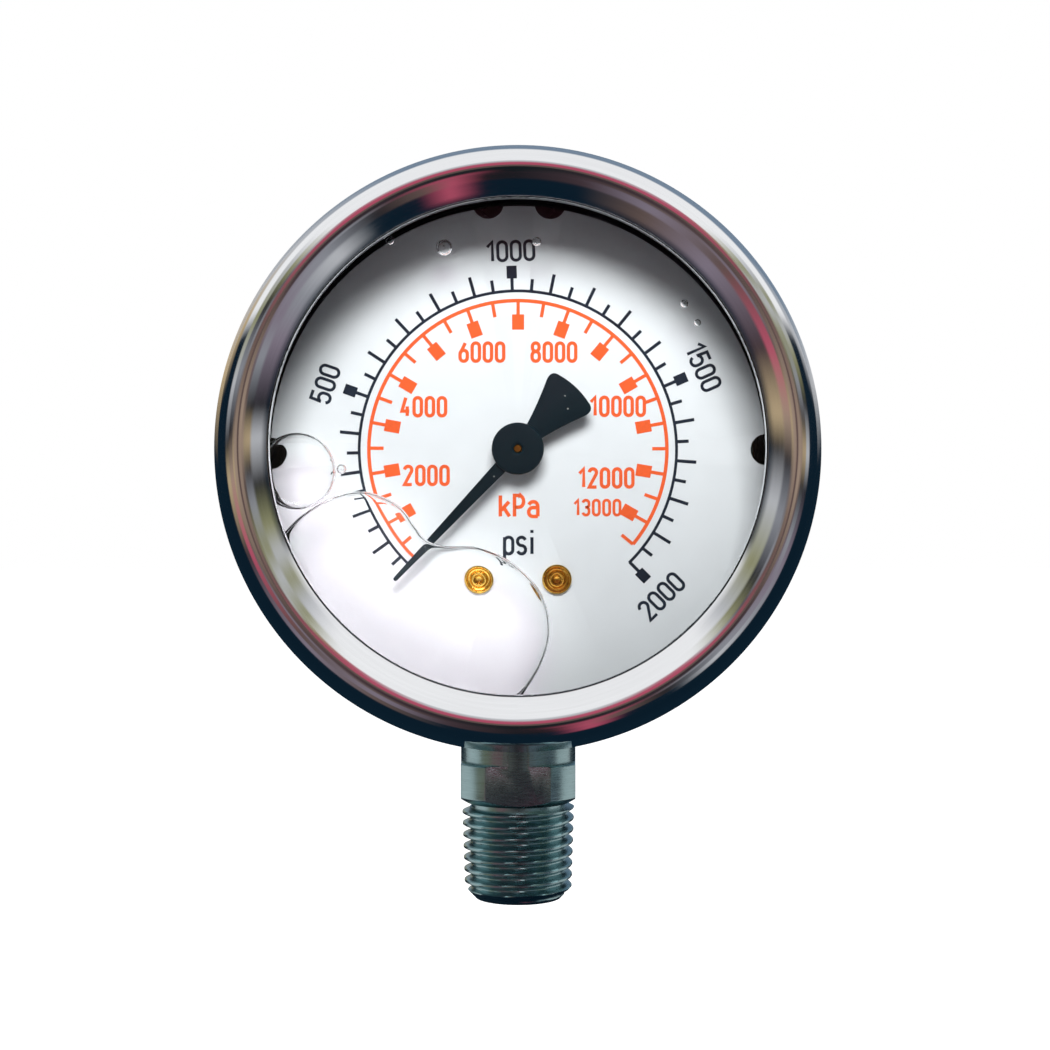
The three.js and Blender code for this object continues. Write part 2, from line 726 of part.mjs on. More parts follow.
/** The flat spiral strip, from the collet out to the stud. */
function hairspring() {
  const { y, height, inner, outer, turns, strip } = HAIRSPRING;
  const steps = turns * 16;
  const side = (offset) =>
    Array.from({ length: steps + 1 }, (_, i) => {
      const angle = (2 * Math.PI * turns * i) / steps;
      const radius = inner + ((outer - inner) * i) / steps + offset;
      return new THREE.Vector2(radius * Math.cos(angle), radius * Math.sin(angle));
    });
  const outline = new THREE.Shape([...side(strip / 2), ...side(-strip / 2).reverse()]);
  return plate(outline, y, height);
}

function hairspringCollet() {
  const { y, height, inner, strip } = HAIRSPRING;
  const outer = inner - strip / 2 - FIT;
  const bore = 0.85 + FIT;
  const front = y - height - 0.05;
  return turned([
    [bore, front],
    [outer, front],
    [outer, y + 0.1],
    [bore, y + 0.1],
    [bore, front],
  ]);
}

// ---- Dial and pointer ------------------------------------------------------------------

const POST = { r: 1.7, studR: 1, studEnd: 1 };
const RIVET = { headR: 1.75, shankR: 0.9 };

/** The printed disc with its bubble notches, centre hole and rivet holes. */
function dial() {
  const outline = new THREE.Shape().absarc(0, -DIAL_DROP, DIAL_R, 0, 2 * Math.PI, false);
  outline.holes.push(roundHole(0, 0, 2));
  for (const x of [-RIVET_X, RIVET_X]) outline.holes.push(roundHole(x, RIVET_Z, RIVET.shankR + 0.1));
  const disc = plate(outline, DIAL_Y + DIAL_THICKNESS, DIAL_THICKNESS, LARGE_SIDES / 2);
  const notches = NOTCH_ANGLES.map((angle) =>
    rodY(NOTCH_R, DIAL_Y - 1, DIAL_Y + 2).translate(
      NOTCH_PLACE * Math.sin(degrees(angle)),
      0,
      NOTCH_PLACE * Math.cos(degrees(angle)),
    ),
  );
  return cut(disc, ...notches);
}

/** A post on the socket that holds the dial, with a stud at the back and a bore at the front. */
function dialPost() {
  const front = DIAL_Y + DIAL_THICKNESS + FIT;
  const body = turned([
    [0, front],
    [POST.r, front],
    [POST.r, HEAD.front - FIT],
    [POST.studR, HEAD.front - FIT],
    [POST.studR, POST.studEnd],
    [0, POST.studEnd],
  ]);
  return cut(body, rodY(RIVET.shankR + FIT, front - 1, front + 3));
}

/** A dial rivet with a cupped head on the printed face. */
function dialRivet() {
  const { headR, shankR } = RIVET;
  const face = DIAL_Y - FIT;
  return turned([
    [0, face - 0.25],
    [headR * 0.55, face - 0.3],
    [headR * 0.75, face - 0.55],
    [headR * 0.9, face - 0.55],
    [headR, face - 0.3],
    [headR, face],
    [shankR, face],
    [shankR, face + 3],
    [0, face + 3],
  ]);
}

/** Needle and tail in outline, pointing up: a long taper, a disc under the hub and a fan. */
function pointerOutline() {
  const discR = POINTER_HUB_R - 0.8;
  const shape = new THREE.Shape();
  shape.moveTo(-0.3, NEEDLE_LENGTH - 0.3);
  shape.lineTo(-0.8, 2.6);
  shape.absarc(0, 0, discR, degrees(115), degrees(240), false);
  shape.lineTo(-1.19, -2.81);
  shape.quadraticCurveTo(-1.9, -5.4, -3, -8);
  shape.quadraticCurveTo(-3.6, -9.4, -2.3, -9.6);
  shape.quadraticCurveTo(0, -10.15, 2.3, -9.6);
  shape.quadraticCurveTo(3.6, -9.4, 3, -8);
  shape.quadraticCurveTo(1.9, -5.4, 1.19, -2.81);
  shape.absarc(0, 0, discR, degrees(-60), degrees(65), false);
  shape.lineTo(0.8, 2.6);
  shape.lineTo(0.3, NEEDLE_LENGTH - 0.3);
  shape.absarc(0, NEEDLE_LENGTH - 0.3, 0.3, 0, Math.PI, false);
  return shape;
}

/** The pointer: a flat plate with a raised hub that is open over the shaft's end. */
function pointer() {
  const arm = plate(pointerOutline(), POINTER_Y + POINTER_PLATE, POINTER_PLATE);
  const hub = turned(
    [
      [0, POINTER_HUB_Y],
      [POINTER_HUB_R - 0.3, POINTER_HUB_Y],
      [POINTER_HUB_R, POINTER_HUB_Y + 0.2],
      [POINTER_HUB_R, POINTER_Y + POINTER_PLATE],
      [0, POINTER_Y + POINTER_PLATE],
    ],
    24,
  );
  return cut(join(arm, hub), rodY(0.52, POINTER_HUB_Y - 1, POINTER_Y + 2));
}

function pointerBush() {
  const back = DIAL_Y - 0.6;
  const front = POINTER_Y + POINTER_PLATE + FIT;
  return turned([
    [0.62, front],
    [1.6, front],
    [1.6, back - 0.4],
    [1.2, back],
    [0.62, back],
    [0.62, front],
  ]);
}

// ---- The assembly ----------------------------------------------------------------------

const gauge = new THREE.Group();
gauge.name = "pressure_gauge";

/** Everything that is set out from the pointer's axis. */
const centre = new THREE.Group();
centre.position.z = CENTRE_Z;
gauge.add(centre);

function add(group, name, geometry, finish, place = [0, 0, 0]) {
  const mesh = new THREE.Mesh(geometry, finish);
  mesh.name = name;
  mesh.position.set(...place);
  group.add(mesh);
  return mesh;
}

add(centre, "case_shell", caseShell(), FINISH.stainless);
add(centre, "bezel", bezel(), FINISH.polished);
add(centre, "window", flatWindow(), FINISH.clear);
add(centre, "window_gasket", windowGasket(), FINISH.rubber);
add(centre, "fill_plug", fillPlug(), FINISH.rubber);
for (const [name, x] of CASE_SCREWS)
  add(centre, name, caseScrew(), FINISH.steel, [x, BACK_Y - 0.02, CASE_SCREW_Z]);

add(gauge, "socket", socket(), FINISH.stem);
add(gauge, "stem_seal", stemSeal(), FINISH.rubber);
add(gauge, "restrictor", restrictor(), FINISH.brass);

add(centre, "bourdon_tube", bourdonTube(), FINISH.bronze);
add(centre, "tube_end_cap", tubeEndCap(), FINISH.brass);

add(centre, "movement_back_plate", backPlate(), FINISH.brass);
add(centre, "movement_front_plate", frontPlate(), FINISH.brass);
const plateFront = FRONT_PLATE.back - FRONT_PLATE.thickness - FIT;
PILLARS.forEach(([x, z], i) => {
  add(centre, `pillar_${i + 1}`, pillar(), FINISH.brass, [x, 0, z]);
  add(centre, `plate_screw_${i + 1}`, cheeseScrew(1.1, 0.6, 0.55, 2.6), FINISH.steel, [x, plateFront, z]);
});
for (const [name, z] of MOVEMENT_SCREWS) {
  const { headR, headHeight, shankR, length } = MOVEMENT_SCREW;
  const under = BACK_PLATE.back - BACK_PLATE.thickness - FIT;
  add(centre, name, cheeseScrew(headR, headHeight, shankR, length), FINISH.steel, [0, under, z]);
}

add(centre, "hairspring", hairspring(), FINISH.bronze);
const studBack = BACK_PLATE.back - BACK_PLATE.thickness - FIT;
add(centre, "hairspring_stud", rodY(0.45, studBack - 1.1, studBack), FINISH.brass, [STUD[0], 0, STUD[1]]);
add(centre, "hairspring_collet", hairspringCollet(), FINISH.brass);
add(centre, "pinion", pinion(), FINISH.brass);

add(centre, "sector_gear", sectorGear(), FINISH.brass, [SECTOR_X, SECTOR_PLATE.back, SECTOR_Z]);
add(centre, "sector_arbor", sectorArbor(), FINISH.steel, [SECTOR_X, 0, SECTOR_Z]);
add(centre, "link", link(), FINISH.brass);
const linkFront = LINK_BACK_Y - LINK_THICKNESS - FIT;
for (const [name, [x, z]] of [
  ["link_screw_sector", LINK_LOW],
  ["link_screw_tip", LINK_HIGH],
])
  add(centre, name, cheeseScrew(0.85, 0.45, LINK_PIN_R, 1.5), FINISH.steel, [x, linkFront, z]);

add(centre, "dial", dial(), FINISH.enamel);
for (const [side, x] of [
  ["left", -RIVET_X],
  ["right", RIVET_X],
]) {
  add(centre, `dial_post_${side}`, dialPost(), FINISH.brass, [x, 0, RIVET_Z]);
  add(centre, `dial_rivet_${side}`, dialRivet(), FINISH.brass, [x, 0, RIVET_Z]);
}
add(centre, "pointer_bush", pointerBush(), FINISH.brass);
add(centre, "pointer", pointer(), FINISH.black).rotation.y = degrees(REST_ANGLE);

export default gauge;
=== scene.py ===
import json
import math

import bmesh
import bpy
import numpy as np
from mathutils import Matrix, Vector
from mathutils.geometry import delaunay_2d_cdt


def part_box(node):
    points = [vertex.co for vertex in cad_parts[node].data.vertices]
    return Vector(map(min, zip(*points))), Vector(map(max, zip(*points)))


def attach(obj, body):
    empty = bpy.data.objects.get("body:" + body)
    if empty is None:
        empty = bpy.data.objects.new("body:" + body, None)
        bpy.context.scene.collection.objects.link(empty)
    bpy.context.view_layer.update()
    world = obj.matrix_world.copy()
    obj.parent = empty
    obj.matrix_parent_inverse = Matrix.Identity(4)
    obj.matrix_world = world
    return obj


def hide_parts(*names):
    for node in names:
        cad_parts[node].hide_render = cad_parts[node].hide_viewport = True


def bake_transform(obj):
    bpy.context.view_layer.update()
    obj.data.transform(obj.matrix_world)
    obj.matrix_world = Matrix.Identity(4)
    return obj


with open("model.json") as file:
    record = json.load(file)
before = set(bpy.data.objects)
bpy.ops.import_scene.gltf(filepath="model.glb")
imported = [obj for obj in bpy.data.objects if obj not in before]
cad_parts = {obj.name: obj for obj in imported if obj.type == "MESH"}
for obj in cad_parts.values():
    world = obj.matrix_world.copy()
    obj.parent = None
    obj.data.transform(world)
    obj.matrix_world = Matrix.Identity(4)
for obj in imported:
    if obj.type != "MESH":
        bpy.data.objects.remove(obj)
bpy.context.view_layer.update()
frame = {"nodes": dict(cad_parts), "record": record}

MM = 0.001
SIDES = (("left", -1), ("right", 1))
BEZEL_SIDES = 256  # facets round the bezel
FINE = 192  # facets round the case
MEDIUM = 96  # facets round the stem
SMALL = 48  # facets round a screw or rivet
AIR_IN_LIQUID = 0.7  # refractive index of a bubble in the liquid
VEIL = ((0.0, (0.95, 0.9, 0.93)), (0.3, (0.88, 0.82, 0.87)), (0.7, (0.3, 0.28, 0.32)))  # its shadow


def node_box(node):
    """A CAD node's lowest and highest corners, in millimetres."""
    low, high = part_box(node)
    return low / MM, high / MM


# ---- Stations taken from the frame -----------------------------------------------------

bezel_low, bezel_high = node_box("bezel")
case_low, case_high = node_box("case_shell")
window_low, window_high = node_box("window")
gasket_low, gasket_high = node_box("window_gasket")
dial_low, dial_high = node_box("dial")
pointer_low, pointer_high = node_box("pointer")
bush_low, bush_high = node_box("pointer_bush")
socket_low, socket_high = node_box("socket")
seal_low, seal_high = node_box("stem_seal")
plug_low, plug_high = node_box("fill_plug")
restrictor_low, restrictor_high = node_box("restrictor")
rivet_low, rivet_high = node_box("dial_rivet_right")
screw_low, screw_high = node_box("case_screw_right")

CENTRE_Z = (bezel_low.z + bezel_high.z) / 2
AXIS = (0, 0, CENTRE_Z)
STEM_AXIS = (0, 0, 0)
SKIRT_R = bezel_high.x
CREST_Y = bezel_low.y
CURL_Y = bezel_high.y
FLANGE_R = case_high.x
FLANGE_Y = case_low.y
BACK_Y = case_high.y
DIAL_FACE = dial_low.y
HUB_FACE = pointer_low.y
POINTER_BACK = pointer_high.y
RIVET_X = (rivet_low.x + rivet_high.x) / 2
RIVET_Z = (rivet_low.z + rivet_high.z) / 2
PLUG_Y = (plug_low.y + plug_high.y) / 2
SCREW_X = (screw_low.x + screw_high.x) / 2
SCREW_Z = (screw_low.z + screw_high.z) / 2

CASE_R = 31.3
CASE_WALL = 0.7
SHEET = 0.9  # the bezel's sheet
BEZEL_R = 33.95  # where the bezel's outer round ends
CREST_R = 31.4
ROUND_DEPTH = 3.2
LIP_R = 28.1
DIAL_R = 29.2
DIAL_DROP = 0.45  # how far the disc sits below the axis
POINTER_ANGLE = -136.7  # clockwise from the top, with no pressure
NEEDLE_LENGTH = 21.2
POINTER_PLATE = 0.4
HUB_R = 3.05
GASKET_R = 29.3  # the gasket's inner edge
PLUG_R = 3.95  # the hole for the fill plug
FIT = 0.05  # gap between pieces that touch


# ---- Meshes ----------------------------------------------------------------------------

def add_mesh(name, bm):
    """A mesh object in the scene, from a bmesh in millimetres."""
    bmesh.ops.recalc_face_normals(bm, faces=bm.faces)
    bmesh.ops.scale(bm, vec=(MM, MM, MM), verts=bm.verts)
    mesh = bpy.data.meshes.new(name)
    bm.to_mesh(mesh)
    bm.free()
    made = bpy.data.objects.new(name, mesh)
    bpy.context.scene.collection.objects.link(made)
    return made


def smooth(piece, angle=32):
    """Smooth shading, with an edge left sharp where it turns by more than angle."""
    piece.data.shade_smooth()
    piece.data.set_sharp_from_angle(angle=math.radians(angle))
    return piece


def settle(piece):
    """Puts the piece's modifiers into its mesh."""
    graph = bpy.context.evaluated_depsgraph_get()
    mesh = bpy.data.meshes.new_from_object(piece.evaluated_get(graph))
    piece.modifiers.clear()
    piece.data = mesh
    return piece


def carve(piece, cutters, operation="DIFFERENCE"):
    """Cuts the cutters out of the piece, or joins them to it, and removes them."""
    for cutter in cutters:
        modifier = piece.modifiers.new("carve", "BOOLEAN")
        modifier.object = cutter
        modifier.operation = operation
        modifier.solver = "EXACT"
    settle(piece)
    for cutter in cutters:
        bpy.data.objects.remove(cutter)
    return piece


def bevel(piece, width, segments=3, angle=35):
    modifier = piece.modifiers.new("bevel", "BEVEL")
    modifier.width = width * MM
    modifier.segments = segments
    modifier.limit_method = "ANGLE"
    modifier.angle_limit = math.radians(angle)
    return settle(piece)


def rounded(corners, closed=False, steps=5):
    """A line through corners of (a, b) or (a, b, radius), with an arc at each radius."""
    count = len(corners)
    line = []
    for i, corner in enumerate(corners):
        here = Vector(corner[:2])
        ends = not closed and i in (0, count - 1)
        if ends or len(corner) < 3:
            line.append(tuple(here))
            continue
        back = Vector(corners[i - 1][:2]) - here
        ahead = Vector(corners[(i + 1) % count][:2]) - here
        half = back.angle(ahead) / 2
        reach = min(corner[2] / math.tan(half), 0.49 * back.length, 0.49 * ahead.length)
        radius = reach * math.tan(half)
        middle = here + (back.normalized() + ahead.normalized()).normalized() * radius / math.sin(half)
        first = here + back.normalized() * reach - middle
        last = here + ahead.normalized() * reach - middle
        for k in range(steps + 1):
            spoke = first.slerp(last, k / steps) * radius
            line.append(tuple(middle + spoke))
    if closed:
        line.append(line[0])
    return line


def bow(x, z, across, up, start, end, steps=8):
    """Points on part of an ellipse, from one angle to another, anticlockwise from the right."""
    points = []
    for k in range(steps + 1):
        turn = math.radians(start + (end - start) * k / steps)
        points.append((x + across * math.cos(turn), z + up * math.sin(turn)))
    return points


def bend(start, control, end, steps=8):
    """Points on a quadratic curve, without the first."""
    points = []
    for k in range(1, steps + 1):
        t = k / steps
        weights = ((1 - t) ** 2, 2 * t * (1 - t), t * t)
        points.append(tuple(
            weights[0] * start[i] + weights[1] * control[i] + weights[2] * end[i] for i in (0, 1)
        ))
    return points


def lathe(name, profile, centre=AXIS, sides=FINE, upright=False):
    """A profile of (radius, along) turned about the Y axis, or the Z axis if upright."""
    bm = bmesh.new()
    rings = []
    closed = math.dist(profile[0], profile[-1]) < 1e-6 and profile[0][0] > 0
    points = profile[:-1] if closed else profile
    for radius, along in points:
        ring = []
        for k in range(1 if radius < 1e-6 else sides):
            turn = 2 * math.pi * k / sides
            across, up = radius * math.sin(turn), radius * math.cos(turn)
            place = (across, up, along) if upright else (across, along, up)
            ring.append(bm.verts.new(Vector(centre) + Vector(place)))
        rings.append(ring)
    pairs = list(zip(rings, rings[1:]))
    if closed:
        pairs.append((rings[-1], rings[0]))
    for a, b in pairs:
        for k in range(sides):
            corners = [a[k % len(a)], a[(k + 1) % len(a)], b[(k + 1) % len(b)], b[k % len(b)]]
            corners = list(dict.fromkeys(corners))
            if len(corners) > 2:
                bm.faces.new(corners)
    return smooth(add_mesh(name, bm))


def rod(radius, start, end, centre=AXIS, sides=SMALL, upright=False):
    return lathe("rod", [(0, start), (radius, start), (radius, end), (0, end)], centre, sides, upright)


def skin(bm, rings, closed=False):
    """Faces between rings of vertices, and over both ends or from the last ring to the first."""
    for a, b in zip(rings, rings[1:] + rings[:1] if closed else rings[1:]):
        for k in range(len(a)):
            after = (k + 1) % len(a)
            bm.faces.new((a[k], a[after], b[after], b[k]))
    if not closed:
        bm.faces.new(rings[0][::-1])
        bm.faces.new(rings[-1])


def plate(name, outline, back, front):
    """An outline of (x, z) points made a plate between two depths."""
    bm = bmesh.new()
    skin(bm, [[bm.verts.new((x, depth, z)) for x, z in outline] for depth in (front, back)])
    return add_mesh(name, bm)


def block(low, high):
    bm = bmesh.new()
    bmesh.ops.create_cube(bm, size=1)
    size = Vector(high) - Vector(low)
    bmesh.ops.scale(bm, vec=size, verts=bm.verts)
    bmesh.ops.translate(bm, vec=(Vector(high) + Vector(low)) / 2, verts=bm.verts)
    return add_mesh("block", bm)


def finish(piece, material, body="gauge_body", stands_for=()):
    """Gives a piece its material and the body it moves with."""
    piece.data.materials.clear()
    piece.data.materials.append(material)
    if body:
        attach(piece, body)
    if stands_for:
        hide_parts(*stands_for)
    return piece


# ---- Materials -------------------------------------------------------------------------

class Nodes:
    """A node tree that is filled in by short calls."""

    def __init__(self, owner, fresh=True):
        owner.use_nodes = True
        self.tree = owner.node_tree
        if fresh:
            self.tree.nodes.clear()

    def add(self, kind, values=None, **settings):
        node = self.tree.nodes.new(kind)
        for key, value in settings.items():
            setattr(node, key, value)
        for key, value in (values or {}).items():
            if isinstance(value, bpy.types.NodeSocket):
                self.tree.links.new(value, node.inputs[key])
            else:
                node.inputs[key].default_value = value
        return node

    def maths(self, operation, *values):
        return self.add("ShaderNodeMath", dict(enumerate(values)), operation=operation).outputs[0]

    def noise(self, vector, scale, detail=3.0):
        values = {"Vector": vector, "Scale": scale, "Detail": detail}
        return self.add("ShaderNodeTexNoise", values).outputs["Fac"]

    def relief(self, height, strength, distance):
        """Small bumps, as a normal."""
        values = {"Height": height, "Strength": strength, "Distance": distance}
        return self.add("ShaderNodeBump", values).outputs[0]

    def output(self, surface):
        self.add("ShaderNodeOutputMaterial", {"Surface": surface.outputs[0]})

    def spread(self, value, low, high, start=0.0, end=1.0):
        """The value carried from start..end to low..high."""
        values = {"Value": value, "From Min": start, "From Max": end, "To Min": low, "To Max": high}
        return self.add("ShaderNodeMapRange", values).outputs[0]

    def ramp(self, value, stops):
        node = self.add("ShaderNodeValToRGB", {"Fac": value})
        elements = node.color_ramp.elements
        while len(elements) > 1:
            elements.remove(elements[-1])
        elements[0].position = stops[0][0]
        elements[0].color = (*stops[0][1], 1)
        for position, color in stops[1:]:
            elements.new(position).color = (*color, 1)
        return node.outputs["Color"]

    def mix(self, amount, a, b):
        node = self.add("ShaderNodeMix", data_type="RGBA")
        sockets = [s for s in node.inputs if s.enabled]
        for socket, value in zip(sockets, (amount, a, b)):
            if isinstance(value, bpy.types.NodeSocket):
                self.tree.links.new(value, socket)
            elif socket.type == "RGBA":
                socket.default_value = (*value, 1)
            else:
                socket.default_value = value
        return [s for s in node.outputs if s.enabled][0]

    def place(self):
        """Object coordinates, measured from the dial's centre."""
        here = self.add("ShaderNodeTexCoord").outputs["Object"]
        values = {0: here, 1: (0, 0, CENTRE_Z * MM)}
        return self.add("ShaderNodeVectorMath", values, operation="SUBTRACT").outputs[0]

    def rings(self, upright=False):
        """Coordinates that follow tool marks: finely spaced across, long around the axis."""
        here = self.add("ShaderNodeSeparateXYZ", {0: self.place()}).outputs
        side = here["Y"] if upright else here["Z"]
        along = here["Z"] if upright else here["Y"]
        squares = [self.maths("MULTIPLY", a, a) for a in (here["X"], side)]
        radius = self.maths("SQRT", self.maths("ADD", *squares))
        turn = self.maths("MULTIPLY", self.maths("ARCTAN2", here["X"], side), 0.0006)
        values = {"X": radius, "Y": turn, "Z": along}
        return self.add("ShaderNodeCombineXYZ", values).outputs[0]


def principled(material):
    return next(node for node in material.node_tree.nodes if node.type == "BSDF_PRINCIPLED")


def shade(name, color, rough, metallic=0.0, marks=None, grain=900.0, bump=0.02, vary=0.12):
    """A material whose colour, roughness and bump vary with noise.
    marks is None for an even grain, ring for marks about the dial's axis, turned for the stem's."""
    material = bpy.data.materials.new(name)
    nodes = Nodes(material)
    place = nodes.place()
    lines = nodes.rings(marks == "turned") if marks else place
    fine = nodes.noise(lines, grain * (6 if marks else 1), 4.0)
    broad = nodes.noise(place, grain / 12, 2.0)
    dark = tuple(c * (1 - vary) for c in color)
    light = tuple(min(1.0, c * (1 + vary)) for c in color)
    blend = nodes.maths("MULTIPLY", nodes.maths("ADD", fine, broad), 0.5)
    tone = nodes.ramp(blend, [(0.35, dark), (0.65, light)])
    roughness = nodes.spread(blend, rough[0], rough[1], 0.3, 0.7)
    normal = nodes.relief(fine, bump, 0.0001)
    inputs = {"Base Color": tone, "Roughness": roughness, "Normal": normal, "Metallic": metallic}
    nodes.output(nodes.add("ShaderNodeBsdfPrincipled", inputs))
    return material


def pointer_paint():
    """Blue-black paint with a few pale specks of dust."""
    material = shade("pointer_paint", (0.004, 0.014, 0.02), (0.3, 0.45), grain=1500, bump=0.05)
    nodes = Nodes(material, fresh=False)
    base = principled(material).inputs["Base Color"]
    cells = nodes.add("ShaderNodeTexVoronoi", {"Vector": nodes.place(), "Scale": 900.0})
    near = nodes.spread(cells.outputs["Distance"], 1.0, 0.0, 0.07, 0.11)
    rare = nodes.maths("GREATER_THAN", nodes.noise(nodes.place(), 700.0, 0.0), 0.64)
    speck = nodes.maths("MULTIPLY", near, rare)
    paint = base.links[0].from_socket
    nodes.tree.links.new(nodes.mix(speck, paint, (0.35, 0.36, 0.34)), base)
    return material


def clear(name, ior, tint, sheen, haze):
    """A clear sheet that lets light through and keeps a weak Fresnel gloss."""
    material = bpy.data.materials.new(name)
    nodes = Nodes(material)
    ripple = nodes.relief(nodes.noise(nodes.place(), 40.0, 1.0), 0.02, 0.0005)
    through = nodes.add("ShaderNodeBsdfTransparent", {"Color": (*tint, 1)}).outputs[0]
    roughness = nodes.spread(nodes.noise(nodes.place(), 300.0), 0.0, haze)
    gloss = {"Roughness": roughness, "Normal": ripple, "Color": (*sheen, 1)}
    shine = nodes.add("ShaderNodeBsdfGlossy", gloss).outputs[0]
    amount = nodes.add("ShaderNodeFresnel", {"IOR": ior}).outputs[0]
    nodes.output(nodes.add("ShaderNodeMixShader", {0: amount, 1: through, 2: shine}))
    return material


def bubble_skin():
    """The face between the liquid and the air in a bubble. Light enters the thinner medium, and
    past the critical angle it is thrown back."""
    material = bpy.data.materials.new("bubble_skin")
    nodes = Nodes(material)
    ripple = nodes.relief(nodes.noise(nodes.place(), 120.0, 1.0), 0.02, 0.0002)
    optics = {"IOR": AIR_IN_LIQUID, "Roughness": 0.0, "Normal": ripple}
    bent = nodes.add("ShaderNodeBsdfRefraction", optics).outputs[0]
    thrown = nodes.add("ShaderNodeBsdfGlass", optics).outputs[0]
    steep = nodes.add("ShaderNodeLayerWeight", {"Blend": 0.5}).outputs["Facing"]
    critical = nodes.spread(steep, 0, 1, 0.08, 0.2)
    face = nodes.add("ShaderNodeMixShader", {0: critical, 1: bent, 2: thrown})
    veil = nodes.ramp(steep, VEIL)
    through = nodes.add("ShaderNodeBsdfTransparent", {"Color": veil}).outputs[0]
    shadow = nodes.add("ShaderNodeLightPath").outputs["Is Shadow Ray"]
    nodes.output(nodes.add("ShaderNodeMixShader", {0: shadow, 1: face.outputs[0], 2: through}))
    return material


POLISHED = shade("polished_steel", (0.8, 0.81, 0.83), (0.06, 0.14), 1.0, "ring", 500, 0.015, 0.04)
SATIN = shade("case_steel", (0.62, 0.63, 0.65), (0.18, 0.34), 1.0, "ring", 700, 0.05, 0.08)
STEM = shade("stem_steel", (0.26, 0.44, 0.47), (0.22, 0.36), 1.0, "turned", 900, 0.1, 0.2)
SCREW = shade("screw_steel", (0.55, 0.56, 0.58), (0.18, 0.36), 1.0, None, 1800, 0.06, 0.1)
BRASS = shade("brass", (0.82, 0.5, 0.1), (0.14, 0.28), 1.0, None, 1600, 0.08, 0.16)
BRONZE = shade("tube_bronze", (0.6, 0.33, 0.16), (0.2, 0.42), 1.0, None, 700, 0.08, 0.2)
RUBBER = shade("rubber", (0.018, 0.019, 0.021), (0.6, 0.85), 0.0, None, 2200, 0.35, 0.3)
ENAMEL = shade("dial_enamel", (0.8, 0.83, 0.85), (0.35, 0.5), 0.0, None, 500, 0.03, 0.025)
BLACK_INK = shade("black_ink", (0.012, 0.02, 0.034), (0.4, 0.6), 0.0, None, 3000, 0.05, 0.3)
RED_INK = shade("red_ink", (0.9, 0.125, 0.03), (0.4, 0.6), 0.0, None, 2500, 0.05, 0.08)
PAINT = pointer_paint()
GLASS = clear("window_clear", 1.45, (0.985, 0.99, 0.99), (0.24, 0.28, 0.3), 0.06)
SKIN = bubble_skin()


# ---- Case and bezel --------------------------------------------------------------------

def bezel():
    """The crimped ring: lip, curved slope, narrow crest, outer round, flared skirt and curl."""
    middle = (CREST_R, CREST_Y + ROUND_DEPTH)
    across = BEZEL_R - CREST_R
    back_y = window_low.y - FIT
    lip = (LIP_R + 0.04, CREST_Y + 2.05)
    profile = [(LIP_R + 0.1, back_y), (LIP_R, lip[1] + 0.1), lip]
    profile += bend(lip, (CREST_R - 1.3, CREST_Y), (CREST_R, CREST_Y), 20)
    profile += bow(*middle, across, ROUND_DEPTH, -90, 0, 18)[1:]
    profile += rounded([
        (BEZEL_R, middle[1]),
        (BEZEL_R + 0.03, middle[1] + 0.2),
        (SKIRT_R, CURL_Y - 0.6, 0.5),
        (SKIRT_R, CURL_Y, 0.45),
        (CASE_R + 0.45, CURL_Y, 0.3),
        (CASE_R + 0.45, CURL_Y - SHEET + FIT, 0.1),
        (SKIRT_R - SHEET, CURL_Y - SHEET + FIT),
    ])[1:]
    profile += bow(*middle, across - SHEET, ROUND_DEPTH - SHEET, 0, -90, 6)
    profile += [(LIP_R + 0.9, back_y), (LIP_R + 0.1, back_y)]
    ring = lathe("bezel_ring", profile, sides=BEZEL_SIDES)
    return finish(smooth(ring, 60), POLISHED, stands_for=["bezel"])


def case_shell():
    """The drawn cup, with the holes for stem, plug and case screws."""
    inner_back = BACK_Y - CASE_WALL
    shell = lathe("case_cup", rounded([
        (0, inner_back),
        (CASE_R - CASE_WALL, inner_back, 0.8),
        (CASE_R - CASE_WALL, FLANGE_Y, 0.1),
        (FLANGE_R, FLANGE_Y, 0.2),
        (FLANGE_R, FLANGE_Y + CASE_WALL, 0.2),
        (CASE_R, FLANGE_Y + CASE_WALL, 0.3),
        (CASE_R, BACK_Y, 1.5),
        (0, BACK_Y),
    ], steps=6))
    cutters = [
        rod(8, case_low.z - 2, CENTRE_Z - 20, STEM_AXIS, MEDIUM, True),
        rod(4, CENTRE_Z + 20, CENTRE_Z + CASE_R + 2, (0, PLUG_Y, 0), MEDIUM, True),
    ]
    for side in (-1, 1):
        sink = rounded([
            (0, BACK_Y - 1.55), (2.8, BACK_Y + 0.01, 0.05), (3.1, BACK_Y + 0.3), (0, BACK_Y + 0.3),
        ])
        cutters.append(lathe("sink", sink, (side * SCREW_X, 0, SCREW_Z), SMALL))
    carve(shell, cutters)
    return finish(smooth(shell, 28), SATIN, stands_for=["case_shell"])


def window_and_gasket():
    pane = lathe("window_pane", rounded([
        (0, window_low.y),
        (window_high.x, window_low.y, 0.25),
        (window_high.x, window_high.y, 0.25),
        (0, window_high.y),
    ]))
    finish(pane, GLASS, stands_for=["window"])
    ring = lathe("gasket_ring", rounded([
        (GASKET_R, gasket_low.y, 0.25),
        (gasket_high.x, gasket_low.y, 0.25),
        (gasket_high.x, gasket_high.y, 0.25),
        (GASKET_R, gasket_high.y, 0.25),
    ], closed=True))
    finish(ring, RUBBER, stands_for=["window_gasket"])


